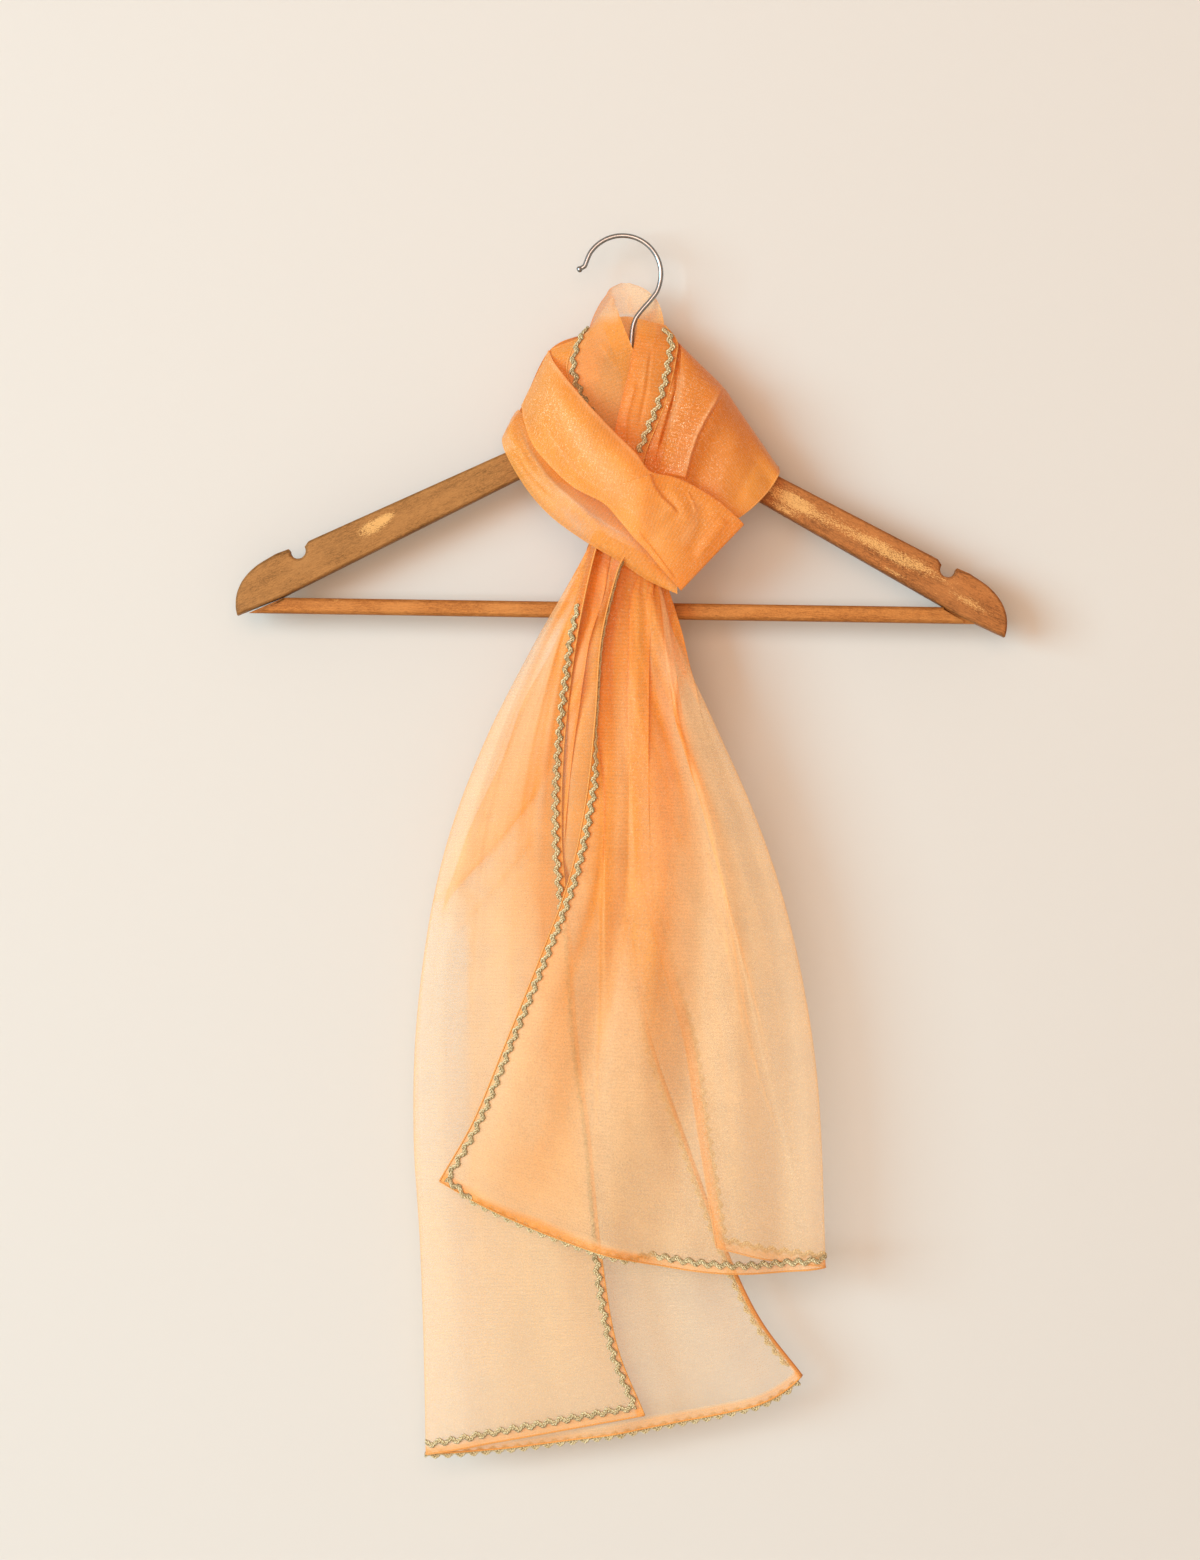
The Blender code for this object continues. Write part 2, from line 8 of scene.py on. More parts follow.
import bmesh
import bpy
import numpy as np
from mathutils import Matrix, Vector


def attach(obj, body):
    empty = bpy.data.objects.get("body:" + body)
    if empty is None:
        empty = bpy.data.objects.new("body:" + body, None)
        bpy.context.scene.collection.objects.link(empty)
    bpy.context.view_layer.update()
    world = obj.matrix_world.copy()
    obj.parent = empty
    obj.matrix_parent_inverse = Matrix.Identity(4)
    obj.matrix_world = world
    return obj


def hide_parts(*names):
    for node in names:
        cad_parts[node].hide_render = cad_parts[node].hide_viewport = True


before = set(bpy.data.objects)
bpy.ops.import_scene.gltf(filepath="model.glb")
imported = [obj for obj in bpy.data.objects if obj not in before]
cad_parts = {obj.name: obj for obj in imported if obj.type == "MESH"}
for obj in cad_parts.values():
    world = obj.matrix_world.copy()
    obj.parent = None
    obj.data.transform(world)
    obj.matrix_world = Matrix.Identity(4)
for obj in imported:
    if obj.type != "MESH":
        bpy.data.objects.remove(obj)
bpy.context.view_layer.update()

MM = 0.001

# ------------------------------------------------------------------ sizes shared
HEM = 5.0             # plain hem left outside the braid
TRIM_WIDTH = 4.4
LEAN = 1.64
AXIS_X = 7.0
WOOD = 12.0
BAR = 9.0
WIRE = 2.8
HOOK_RADIUS = 22.3
HOOK_CENTRE = (1.4, WIRE / 2 - HOOK_RADIUS)

# ---------------------------------------------------------------- camera, stage


def make_camera():
    cam = bpy.data.cameras.new("camera")
    obj = bpy.data.objects.new("camera", cam)
    bpy.context.scene.collection.objects.link(obj)
    obj.location = (-0.01156, -2.2, -0.31328)
    obj.rotation_euler = (math.pi / 2, 0, 0)
    cam.sensor_width = 36
    cam.lens = 36 * 2.2 / (1560 * 0.000578)
    bpy.context.scene.camera = obj


def plain(name, colour, roughness):
    made = bpy.data.materials.new(name)
    made.use_nodes = True
    shader = made.node_tree.nodes["Principled BSDF"]
    shader.inputs["Base Color"].default_value = (*colour, 1)
    shader.inputs["Roughness"].default_value = roughness
    shader.inputs["Specular IOR Level"].default_value = 0.1
    return made


def make_stage():
    """A pale wall just behind the hanger that curves into a pale floor. It can be
    looked through from behind, so that the back of the object can be seen."""
    wall_y, floor_z, bend = 0.0275, -1.15, 0.35
    profile = [(wall_y, 1.6)]
    profile += [(wall_y, 1.6 - 0.25 * k) for k in range(1, 9)]
    top = floor_z + bend
    for k in range(1, 17):
        a = math.pi / 2 * k / 16
        profile.append((wall_y - bend * (1 - math.cos(a)), top - bend * math.sin(a)))
    profile += [(wall_y - bend - 0.4 * k, floor_z) for k in range(1, 9)]
    points, faces = [], []
    for y, z in profile:
        points += [(-2.6, y, z), (2.6, y, z)]
    for k in range(len(profile) - 1):
        faces.append((2 * k, 2 * k + 2, 2 * k + 3, 2 * k + 1))
    mesh = bpy.data.meshes.new("stage_sweep")
    mesh.from_pydata(points, [], faces)
    mesh.shade_smooth()
    obj = bpy.data.objects.new("stage_sweep", mesh)
    bpy.context.scene.collection.objects.link(obj)
    made = plain("stage_paint", (0.578, 0.580, 0.522), 0.9)
    tree = made.node_tree
    shader = tree.nodes["Principled BSDF"]
    out = tree.nodes["Material Output"]
    side = tree.nodes.new("ShaderNodeNewGeometry")
    clear = tree.nodes.new("ShaderNodeBsdfTransparent")
    mix = tree.nodes.new("ShaderNodeMixShader")
    tree.links.new(side.outputs["Backfacing"], mix.inputs[0])
    tree.links.new(shader.outputs[0], mix.inputs[1])
    tree.links.new(clear.outputs[0], mix.inputs[2])
    tree.links.new(mix.outputs[0], out.inputs[0])
    mesh.materials.append(made)
    return obj


def area_light(name, place, aim, size, power, colour):
    light = bpy.data.lights.new(name, "AREA")
    light.shape = "RECTANGLE"
    light.size, light.size_y = size
    light.energy = power
    light.color = colour
    obj = bpy.data.objects.new(name, light)
    bpy.context.scene.collection.objects.link(obj)
    obj.location = place
    way = Vector(aim) - Vector(place)
    obj.rotation_euler = way.to_track_quat("-Z", "Y").to_euler()
    return obj


def make_lights():
    world = bpy.data.worlds.new("studio")
    bpy.context.scene.world = world
    world.use_nodes = True
    back = world.node_tree.nodes["Background"]
    back.inputs[0].default_value = (1.0, 0.66, 0.50, 1)
    back.inputs[1].default_value = 0.62
    area_light("key", (-4.1, -4.0, 0.15), (0.0, 0.0, -0.35), (3.4, 2.4), 345, (0.515, 0.80, 1.0))
    area_light("fill", (-0.4, -3.4, 0.1), (0.0, 0.0, -0.3), (2.2, 2.2), 69, (1.0, 0.655, 0.50))
    bpy.context.scene.view_settings.view_transform = "Standard"
    bpy.context.scene.cycles.transparent_max_bounces = 40
    bpy.context.scene.cycles.max_bounces = 6
    bpy.context.scene.cycles.diffuse_bounces = 3
    bpy.context.scene.cycles.glossy_bounces = 2


# ------------------------------------------------------------------ curve tools


def curve_through(rows, count):
    """count points evenly along the smooth curve through rows (k x m numbers)."""
    rows = np.array(rows, float)
    k = len(rows)
    padded = np.concatenate([[2 * rows[0] - rows[1]], rows, [2 * rows[-1] - rows[-2]]])
    at = np.linspace(0, k - 1, count)
    i = np.minimum(at.astype(int), k - 2)
    t = (at - i).reshape((-1,) + (1,) * (rows.ndim - 1))
    a, b, c, d = padded[i], padded[i + 1], padded[i + 2], padded[i + 3]
    return 0.5 * (
        2 * b + (c - a) * t + (2 * a - 5 * b + 4 * c - d) * t**2 + (3 * b - a - 3 * c + d) * t**3
    )


def loft(sections, along, across):
    grid = curve_through(np.array(sections, float), along)
    return np.swapaxes(curve_through(np.swapaxes(grid, 0, 1), across), 0, 1)


def normals_of(grid):
    """Unit normals of a grid."""
    du = np.gradient(grid, axis=0)
    dv = np.gradient(grid, axis=1)
    n = np.cross(du, dv)
    n = n / np.maximum(np.linalg.norm(n, axis=2, keepdims=True), 1e-9)
    return n


def smooth01(x):
    x = np.clip(x, 0, 1)
    return x * x * (3 - 2 * x)


def arc(points, axis):
    """Distance run along an axis of a grid of points, from its first row."""
    steps = np.linalg.norm(np.diff(points, axis=axis), axis=2)
    run = np.cumsum(steps, axis=axis)
    pad = [(0, 0), (0, 0)]
    pad[axis] = (1, 0)
    return np.pad(run, pad)


def off_line(grid, line):
    """Signed distance in the hanging plane of each point from a line of (x, z)
    points, and how far along the line (0 to 1) the nearest place is."""
    p = grid[..., [0, 2]]
    line = np.array(line, float)
    lengths = np.linalg.norm(np.diff(line, axis=0), axis=1)
    run = np.concatenate([[0], np.cumsum(lengths)])
    best = np.full(p.shape[:2], 1e9)
    signed = np.zeros(p.shape[:2])
    along = np.zeros(p.shape[:2])
    for k in range(len(line) - 1):
        a, d = line[k], line[k + 1] - line[k]
        t = ((p - a) @ d) / (d @ d)
        inside = np.clip(t, 0, 1)
        gap = p - a - inside[..., None] * d
        far = np.linalg.norm(gap, axis=2)
        side = np.sign(d[0] * gap[..., 1] - d[1] * gap[..., 0])
        closer = far < best
        best = np.where(closer, far, best)
        signed = np.where(closer, far * side, signed)
        along = np.where(closer, (run[k] + inside * lengths[k]) / run[-1], along)
        # past either end the crease has stopped
        if k == 0:
            along = np.where(closer & (t < 0), -far / run[-1], along)
        if k == len(line) - 2:
            along = np.where(closer & (t > 1), 1 + far / run[-1], along)
    return signed, along


def crease(grid, layers, line, width=1.5, out=0.6, reach=0.0, dense=0.0, ends=(0.12, 0.25)):
    """Presses one crease into a grid. With no reach it is a soft ridge (or, with a
    negative out, a trough). With a reach, the cloth on the line's left side (seen
    from the front, going along it) stands out by that much and sinks back over
    the reach; dense adds layers of cloth beside the line."""
    signed, along = off_line(grid, line)
    window = smooth01(along / ends[0] + 0.02) * smooth01((1 - along) / ends[1] + 0.02)
    if reach:
        rise = 0.5 * (1 + np.tanh(signed / width)) * np.exp(-np.maximum(signed, 0) / reach)
        edge = np.exp(-(((signed - width) / (width * 1.2)) ** 2))
        flap = 0.5 * (1 + np.tanh(signed / width)) * np.exp(-np.maximum(signed, 0) / (reach * 1.4))
        layers += dense * window * (0.45 * edge + 0.55 * flap)
    else:
        rise = np.exp(-((signed / width) ** 2))
        layers += dense * window * rise
    grid[..., 1] -= out * window * rise


def mask_along_lines(grid, lines):
    """A mask, 0 to 1, along lines of (x, z) points, for painted highlights and for thinning along the roll's crest:
    each has its points, half-width and strength."""
    found = np.zeros(grid.shape[:2])
    for line, width, much in lines:
        signed, along = off_line(grid, line)
        window = smooth01(along / 0.15) * smooth01((1 - along) / 0.2)
        found = np.maximum(found, much * window * np.exp(-((signed / width) ** 2)))
    return found


# --------------------------------------------------------------------- materials


class Nodes:
    """A short way of writing a material's nodes."""

    def __init__(self, name):
        self.material = bpy.data.materials.new(name)
        self.material.use_nodes = True
        self.tree = self.material.node_tree
        self.tree.nodes.clear()

    def add(self, kind, **settings):
        node = self.tree.nodes.new("ShaderNode" + kind)
        for key, value in settings.items():
            setattr(node, key, value)
        return node

    def put(self, socket, value):
        if isinstance(value, bpy.types.NodeSocket):
            self.tree.links.new(value, socket)
        elif value is not None:
            if hasattr(socket.default_value, "__len__") and len(socket.default_value) == 4 and len(value) == 3:
                value = (*value, 1)
            socket.default_value = value

    def math(self, operation, a, b=None, c=None, clamp=False):
        node = self.add("Math", operation=operation, use_clamp=clamp)
        for socket, value in zip(node.inputs, (a, b, c)):
            self.put(socket, value)
        return node.outputs[0]

    def mix(self, factor, a, b, blend="MIX"):
        node = self.add("Mix", data_type="RGBA", blend_type=blend)
        self.put(node.inputs[0], factor)
        self.put(node.inputs[6], a)
        self.put(node.inputs[7], b)
        return node.outputs[2]

    def span(self, value, low, high, to_low=0.0, to_high=1.0):
        node = self.add("MapRange")
        for socket, v in zip(node.inputs, (value, low, high, to_low, to_high)):
            self.put(socket, v)
        return node.outputs[0]

    def attribute(self, name):
        return self.add("Attribute", attribute_name=name, attribute_type="GEOMETRY")

    def scaled(self, vector, by):
        node = self.add("VectorMath", operation="MULTIPLY")
        self.put(node.inputs[0], vector)
        self.put(node.inputs[1], by)
        return node.outputs[0]

    def noise(self, vector, scale, detail=2.0, rough=0.5):
        node = self.add("TexNoise")
        self.put(node.inputs["Vector"], vector)
        self.put(node.inputs["Scale"], scale)
        self.put(node.inputs["Detail"], detail)
        self.put(node.inputs["Roughness"], rough)
        return node.outputs[0]

    def principled(self, **values):
        node = self.add("BsdfPrincipled")
        for key, value in values.items():
            self.put(node.inputs[key.replace("_", " ")], value)
        return node

    def finish(self, shader):
        out = self.add("OutputMaterial")
        self.tree.links.new(shader, out.inputs[0])
        return self.material


def net_material(name, cover=0.27):
    """Sheer glittery net: fine ribs across the cloth, threads that let light
    through, and thin metallic flakes. "weave" holds millimetres across and along
    the cloth, and "layers" how many thicknesses of it lie together."""
    n = Nodes(name)
    weave = n.attribute("weave").outputs["Vector"]
    layers = n.attribute("layers").outputs["Fac"]
    # painted highlight: chosen lines get a paler colour and more flakes, painted on as highlight
    painted_highlight = n.attribute("painted_highlight").outputs["Fac"]
    split = n.add("SeparateXYZ")
    n.put(split.inputs[0], weave)
    # ribs a little over a millimetre apart, never quite regular
    waver = n.noise(n.scaled(weave, (0.06, 0.30, 1.0)), 1.0, 3.0, 0.6)
    phase = n.math("MULTIPLY_ADD", waver, 3.0, split.outputs[1])
    rib = n.math("SINE", n.math("MULTIPLY", phase, 2 * math.pi / 2.1))
    rib = n.math("MULTIPLY_ADD", rib, 0.5, 0.5)
    # the ribs show most where the cloth is dense
    rib = n.math("MULTIPLY", rib, n.span(layers, 5.0, 10.0, 0.06, 0.20))
    streak = n.noise(n.scaled(weave, (0.09, 0.85, 1.0)), 1.0, 3.0, 0.65)
    cloud = n.noise(n.scaled(weave, (0.05, 0.05, 1.0)), 1.0, 2.0, 0.5)
    grain = n.noise(weave, 1.6, 2.0, 0.6)
    pattern = n.math("ADD", rib, n.math("MULTIPLY", streak, 0.08))
    pattern = n.math("ADD", pattern, n.math("MULTIPLY", grain, 0.80))
    pattern = n.math("ADD", pattern, n.math("MULTIPLY_ADD", cloud, 0.3, -0.15))
    one = n.math("MULTIPLY", n.span(pattern, 0.25, 0.75, 0.7, 1.3), cover)
    through = n.math("POWER", n.math("SUBTRACT", 1.0, one), layers)
    solid = n.math("SUBTRACT", 1.0, through, clamp=True)
    depth = n.span(layers, 1.0, 5.8)
    depth.node.interpolation_type = "SMOOTHSTEP"
    # thin cloth gets a paler thread colour, partly painted light standing in for its sheen and the light passing
    # through it; many layers a deeper orange
    shade = n.mix(depth, (1.0, 0.70, 0.35), (0.88, 0.385, 0.066))
    # past eight layers the colour goes darker still: partly the deeper tone of many layers, partly painted shade, given
    # by high counts where the cloth lies in shade
    shade = n.mix(n.span(layers, 8.0, 14.0, 0.0, 1.0), shade, (0.68, 0.235, 0.033))
    # painted highlight: a paler colour mixed in along the painted highlight lines
    shade = n.mix(n.math("MULTIPLY", painted_highlight, 0.7), shade, (1.0, 0.75, 0.40))
    # the weave's own tone varies the brightness; the range reaching past 1 also lifts the cloth brighter than it could
    # reflect, which is painted light
    light = n.span(pattern, 0.25, 0.75, 0.86, 1.18)
    bright = n.add("VectorMath", operation="SCALE")
    n.put(bright.inputs[0], shade)
    n.put(bright.inputs[3], light)
    colour = bright.outputs[0]
    bump = n.add("Bump")
    bump.inputs["Strength"].default_value = 0.4
    bump.inputs["Distance"].default_value = 0.0002
    n.put(bump.inputs["Height"], pattern)
    thread = n.principled(
        Base_Color=colour,
        Roughness=0.5,
        Specular_IOR_Level=0.35,
        Sheen_Weight=0.45,
        Sheen_Roughness=0.4,
        Sheen_Tint=(1.0, 0.80, 0.62),
        Normal=bump.outputs[0],
    )
    glow = n.add("BsdfTranslucent")
    n.put(glow.inputs[0], n.mix(depth, (1.0, 0.64, 0.25), (1.0, 0.36, 0.045)))
    cloth = n.add("MixShader")
    cloth.inputs[0].default_value = 0.34
    n.tree.links.new(thread.outputs[0], cloth.inputs[1])
    n.tree.links.new(glow.outputs[0], cloth.inputs[2])
    # flakes: each has a face of its own, so each glints at its own angle
    cell = n.add("TexVoronoi", feature="F1")
    n.put(cell.inputs["Vector"], weave)
    n.put(cell.inputs["Scale"], 1.9)
    small = n.math("LESS_THAN", cell.outputs["Distance"], 0.33)
    pick = n.add("SeparateColor")
    n.put(pick.inputs[0], cell.outputs["Color"])
    # painted highlight: more flakes along the painted highlight lines
    some = n.math("GREATER_THAN", pick.outputs[0], n.span(painted_highlight, 0.0, 1.0, 0.45, 0.08))
    flake = n.math("MULTIPLY", small, some)
    tilt = n.add("VectorMath", operation="SUBTRACT")
    n.put(tilt.inputs[0], cell.outputs["Color"])
    tilt.inputs[1].default_value = (0.5, 0.5, 0.5)
    lean = n.add("VectorMath", operation="SCALE")
    n.put(lean.inputs[0], tilt.outputs[0])
    lean.inputs[3].default_value = 1.5
    face = n.add("NewGeometry")
    turned = n.add("VectorMath", operation="ADD")
    n.put(turned.inputs[0], face.outputs["Normal"])
    n.put(turned.inputs[1], lean.outputs[0])
    unit = n.add("VectorMath", operation="NORMALIZE")
    n.put(unit.inputs[0], turned.outputs[0])
    glint = n.principled(
        Base_Color=(1.0, 0.84, 0.54), Metallic=0.5, Roughness=0.4, Normal=unit.outputs[0]
    )
    lit = n.add("MixShader")
    n.put(lit.inputs[0], n.math("MULTIPLY", flake, 0.7))
    n.tree.links.new(cloth.outputs[0], lit.inputs[1])
    n.tree.links.new(glint.outputs[0], lit.inputs[2])
    open_ = n.add("BsdfTransparent")
    seen = n.add("MixShader")
    n.put(seen.inputs[0], n.math("MAXIMUM", solid, n.math("MULTIPLY", flake, 0.55)))
    n.tree.links.new(open_.outputs[0], seen.inputs[1])
    n.tree.links.new(lit.outputs[0], seen.inputs[2])
    return n.finish(seen.outputs[0])


def hem_material(name, low, high):
    """The narrow rolled hem: several turns of the net with a twisted stitch."""
    n = Nodes(name)
    weave = n.attribute("weave").outputs["Vector"]
    split = n.add("SeparateXYZ")
    n.put(split.inputs[0], weave)
    slant = n.math("MULTIPLY_ADD", split.outputs[0], 0.8, split.outputs[1])
    twist = n.math("MULTIPLY_ADD", n.math("SINE", n.math("MULTIPLY", slant, 2 * math.pi / 1.6)), 0.5, 0.5)
    fuzz = n.noise(weave, 1.2, 3.0, 0.6)
    tone = n.math("ADD", n.math("MULTIPLY", twist, 0.5), n.math("MULTIPLY", fuzz, 0.5))
    colour = n.mix(tone, low, high)
    bump = n.add("Bump")
    bump.inputs["Strength"].default_value = 0.6
    bump.inputs["Distance"].default_value = 0.0003
    n.put(bump.inputs["Height"], tone)
    shader = n.principled(
        Base_Color=colour,
        Roughness=0.55,
        Specular_IOR_Level=0.3,
        Sheen_Weight=0.2,
        Normal=bump.outputs[0],
    )
    return n.finish(shader.outputs[0])


def braid_material(name):
    """Gold and olive metallic yarn, plaited."""
    n = Nodes(name)
    weave = n.attribute("weave").outputs["Vector"]
    split = n.add("SeparateXYZ")
    n.put(split.inputs[0], weave)
    slant = n.math("MULTIPLY_ADD", split.outputs[0], 1.4, split.outputs[1])
    twist = n.math("MULTIPLY_ADD", n.math("SINE", n.math("MULTIPLY", slant, 2 * math.pi / 0.62)), 0.5, 0.5)
    blot = n.noise(n.scaled(weave, (1.0, 0.5, 1.0)), 0.9, 3.0, 0.6)
    tone = n.math("ADD", n.math("MULTIPLY", twist, 0.45), n.math("MULTIPLY", blot, 0.55))
    colour = n.mix(n.span(tone, 0.30, 0.70), (0.26, 0.18, 0.06), (1.0, 0.90, 0.54))
    olive = n.noise(weave, 0.22, 2.0, 0.5)
    colour = n.mix(n.span(olive, 0.45, 0.7, 0.0, 0.2), colour, (0.66, 0.56, 0.28))
    # painted shade: each yarn is darkened toward its sides, where it sinks between the others
    round_ = n.math("COSINE", n.math("MULTIPLY", split.outputs[0], 1 / 0.62))
    colour = n.mix(n.span(round_, -0.2, 0.45, 0.75, 0.0), colour, (0.17, 0.11, 0.04))
    bump = n.add("Bump")
    bump.inputs["Strength"].default_value = 0.5
    bump.inputs["Distance"].default_value = 0.0002
    n.put(bump.inputs["Height"], tone)
    shader = n.principled(
        Base_Color=colour,
        Roughness=n.span(blot, 0.3, 0.7, 0.42, 0.62),
        Metallic=0.35,
        Normal=bump.outputs[0],
    )
    return n.finish(shader.outputs[0])


def wood_material(name, tint, worn, patches=()):
    """Oiled wood: long fine grain, darker pores, worn pale-gold patches and painted
    shade on the eased edges. "weave" runs along the grain in x; "edge" is 1 on the eased edges."""
    n = Nodes(name)
    place = n.attribute("weave").outputs["Vector"]
    edge = n.attribute("edge").outputs["Fac"]
    at = n.add("SeparateXYZ")
    n.put(at.inputs[0], place)
    fine = n.noise(n.scaled(place, (0.26, 1.35, 1.35)), 1.0, 6.0, 0.68)
    fleck = n.noise(n.scaled(place, (0.9, 2.2, 2.2)), 1.0, 3.0, 0.7)
    broad = n.noise(n.scaled(place, (0.010, 0.16, 0.16)), 1.0, 3.0, 0.55)
    blot = n.noise(n.scaled(place, (0.030, 0.07, 0.07)), 1.0, 4.0, 0.6)
    grain = n.math("MULTIPLY_ADD", broad, 0.25, n.math("MULTIPLY_ADD", fine, 0.45, n.math("MULTIPLY", fleck, 0.35)))
    dark, mid, pale = tint
    colour = n.mix(n.span(grain, 0.43, 0.585), dark, mid)
    colour = n.mix(n.span(blot, 0.42, 0.72, 0.0, 0.75), colour, pale)
    pore = n.noise(n.scaled(place, (0.36, 2.8, 2.8)), 1.0, 2.0, 0.5)
    colour = n.mix(n.span(pore, 0.60, 0.72, 0.0, 0.55), colour, tuple(0.5 * c for c in dark))
    # painted shade: the eased edges are darkened, standing in for the shade on their rounded faces
    colour = n.mix(n.math("MULTIPLY", edge, n.span(fine, 0.35, 0.7, 0.50, 0.15)), colour, tuple(0.62 * c for c in dark))
    # worn patches: where the finish has rubbed thin, in fine flecks
    patch = n.noise(n.scaled(place, (0.030, 0.13, 0.13)), 1.0, 4.0, 0.65)
    rub = n.math("MULTIPLY_ADD", fleck, 0.72, n.math("MULTIPLY_ADD", fine, 0.13, n.math("MULTIPLY", patch, 0.40)))
    for (cx, cz), (sx, sz), much in patches:
        across = n.math("MULTIPLY", n.math("SUBTRACT", at.outputs[0], cx), 1 / sx)
        down = n.math("MULTIPLY", n.math("SUBTRACT", at.outputs[1], cz), 1 / sz)
        near = n.math("ADD", n.math("MULTIPLY", across, across), n.math("MULTIPLY", down, down))
        near = n.math("SUBTRACT", 1.0, near, clamp=True)
        rub = n.math("MULTIPLY_ADD", near, much, rub)
    rub = n.span(rub, worn, worn + 0.10)
    colour = n.mix(n.math("MULTIPLY", rub, 0.72), colour, (0.74, 0.44, 0.15))
    bump = n.add("Bump")
    bump.inputs["Strength"].default_value = 0.35
    bump.inputs["Distance"].default_value = 0.0003
    n.put(bump.inputs["Height"], n.math("SUBTRACT", fine, n.math("MULTIPLY", pore, 0.6)))
    shader = n.principled(
        Base_Color=colour,
        Roughness=n.math("MULTIPLY_ADD", rub, 0.18, n.span(fine, 0.3, 0.7, 0.42, 0.58)),
        Specular_IOR_Level=0.08,
        Normal=bump.outputs[0],
    )
    return n.finish(shader.outputs[0])


def steel_material(name):
    n = Nodes(name)
    place = n.attribute("weave").outputs["Vector"]
    draw = n.noise(n.scaled(place, (3.0, 0.10, 3.0)), 1.0, 3.0, 0.5)
    spot = n.noise(n.scaled(place, (0.4, 0.12, 0.4)), 1.0, 3.0, 0.6)
    colour = n.mix(n.span(spot, 0.45, 0.75, 0.0, 0.6), (0.335, 0.37, 0.38), (0.185, 0.19, 0.18))
    # the dark specular tint darkens the wire's reflection toward its outline: painted shade
    shader = n.principled(
        Base_Color=colour,
        Metallic=1.0,
        Specular_Tint=(0.30, 0.295, 0.29),
        Roughness=n.span(draw, 0.3, 0.7, 0.16, 0.30),
    )
    return n.finish(shader.outputs[0])


# ------------------------------------------------------------------ mesh makers


def new_mesh(name, points, faces, material, attributes, smooth=True):
    mesh = bpy.data.meshes.new(name)
    mesh.from_pydata(np.asarray(points, float).tolist(), [], np.asarray(faces).tolist() if isinstance(faces, np.ndarray) else faces)
    for key, values in attributes.items():
        values = np.asarray(values, np.float32)
        kind = "FLOAT" if values.ndim == 1 else "FLOAT_VECTOR"
        made = mesh.attributes.new(key, kind, "POINT")
        made.data.foreach_set("value" if values.ndim == 1 else "vector", values.ravel())
    mesh.materials.append(material)
    if smooth:
        mesh.shade_smooth()
    mesh.update()
    obj = bpy.data.objects.new(name, mesh)
    bpy.context.scene.collection.objects.link(obj)
    return obj


def grid_faces(rows, cols, start=0, wrap=False):
    r = np.arange(rows - 1)[:, None]
    c = np.arange(cols if wrap else cols - 1)[None, :]
    a = start + r * cols + c
    b = start + r * cols + (c + 1) % cols
    return np.stack([a, b, b + cols, a + cols], axis=-1).reshape(-1, 4)


def sheet(name, grid, layers, material, seed, replaces, painted_highlight=None):
    """One open sheet of cloth on a grid of points (mm), along x across."""
    rows, cols = grid.shape[:2]
    across = arc(grid, 1)
    across = across - across[:, cols // 2][:, None]
    along = np.repeat(arc(grid, 0).mean(axis=1)[:, None], cols, axis=1)
    weave = np.stack([across, along, np.full_like(across, seed)], axis=-1).reshape(-1, 3)
    obj = new_mesh(
        name,
        grid.reshape(-1, 3) * MM,
        grid_faces(rows, cols),
        material,
        {
            "weave": weave,
            "layers": np.maximum(layers, 0.3).reshape(-1),
            "painted_highlight": (np.zeros(rows * cols) if painted_highlight is None else np.clip(painted_highlight, 0, 1).reshape(-1)),
        },
    )
    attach(obj, "root")
    if replaces:
        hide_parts(*replaces)
    return obj


def area_of(grid):
    a = grid[1:, :-1] - grid[:-1, :-1]
    b = grid[:-1, 1:] - grid[:-1, :-1]
    c = grid[1:, :-1] - grid[1:, 1:]
    d = grid[:-1, 1:] - grid[1:, 1:]
    return float(
        (np.linalg.norm(np.cross(a, b), axis=2).sum() + np.linalg.norm(np.cross(c, d), axis=2).sum()) / 2
    )


def frames_along(line):
    """Unit directions along a line and two unit directions across it."""
    t = np.gradient(line, axis=0)
    t = t / np.maximum(np.linalg.norm(t, axis=1, keepdims=True), 1e-9)
    n = np.zeros_like(line)
    up = np.array([0.0, -1.0, 0.0])
    if abs(t[0] @ up) > 0.9:
        up = np.array([1.0, 0.0, 0.0])
    n[0] = up - t[0] * (up @ t[0])
    n[0] /= np.linalg.norm(n[0])
    for i in range(1, len(line)):
        v = n[i - 1] - t[i] * (n[i - 1] @ t[i])
        n[i] = v / max(np.linalg.norm(v), 1e-9)
    return t, n, np.cross(t, n)


def tube_parts(line, radius, sides, seed=0.0, caps=True):
    """Points, faces and weave values (mm) of a round tube on a line."""
    line = np.asarray(line, float)
    radius = np.broadcast_to(np.asarray(radius, float), (len(line),))
    _, n, b = frames_along(line)
    a = np.arange(sides) * 2 * math.pi / sides
    ring = n[:, None] * np.cos(a)[None, :, None] + b[:, None] * np.sin(a)[None, :, None]
    points = (line[:, None] + ring * radius[:, None, None]).reshape(-1, 3)
    run = np.concatenate([[0], np.cumsum(np.linalg.norm(np.diff(line, axis=0), axis=1))])
    weave = np.stack(
        [
            np.repeat((a * radius.mean())[None], len(line), 0).ravel(),
            np.repeat(run[:, None], sides, 1).ravel(),
            np.full(len(points), seed),
        ],
        axis=1,
    )
    faces = grid_faces(len(line), sides, wrap=True).tolist()
    if caps:
        faces.append(list(range(sides))[::-1])
        faces.append([len(points) - sides + k for k in range(sides)])
    return points, faces, weave


def joined(name, parts, material, ride=True):
    points, faces, weave, count = [], [], [], 0
    for p, f, w in parts:
        points.append(p)
        weave.append(w)
        faces += [[count + i for i in face] for face in f]
        count += len(p)
    obj = new_mesh(name, np.concatenate(points) * MM, faces, material, {"weave": np.concatenate(weave)})
    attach(obj, "root")
    return obj


# ------------------------------------------------------------------- the hanger

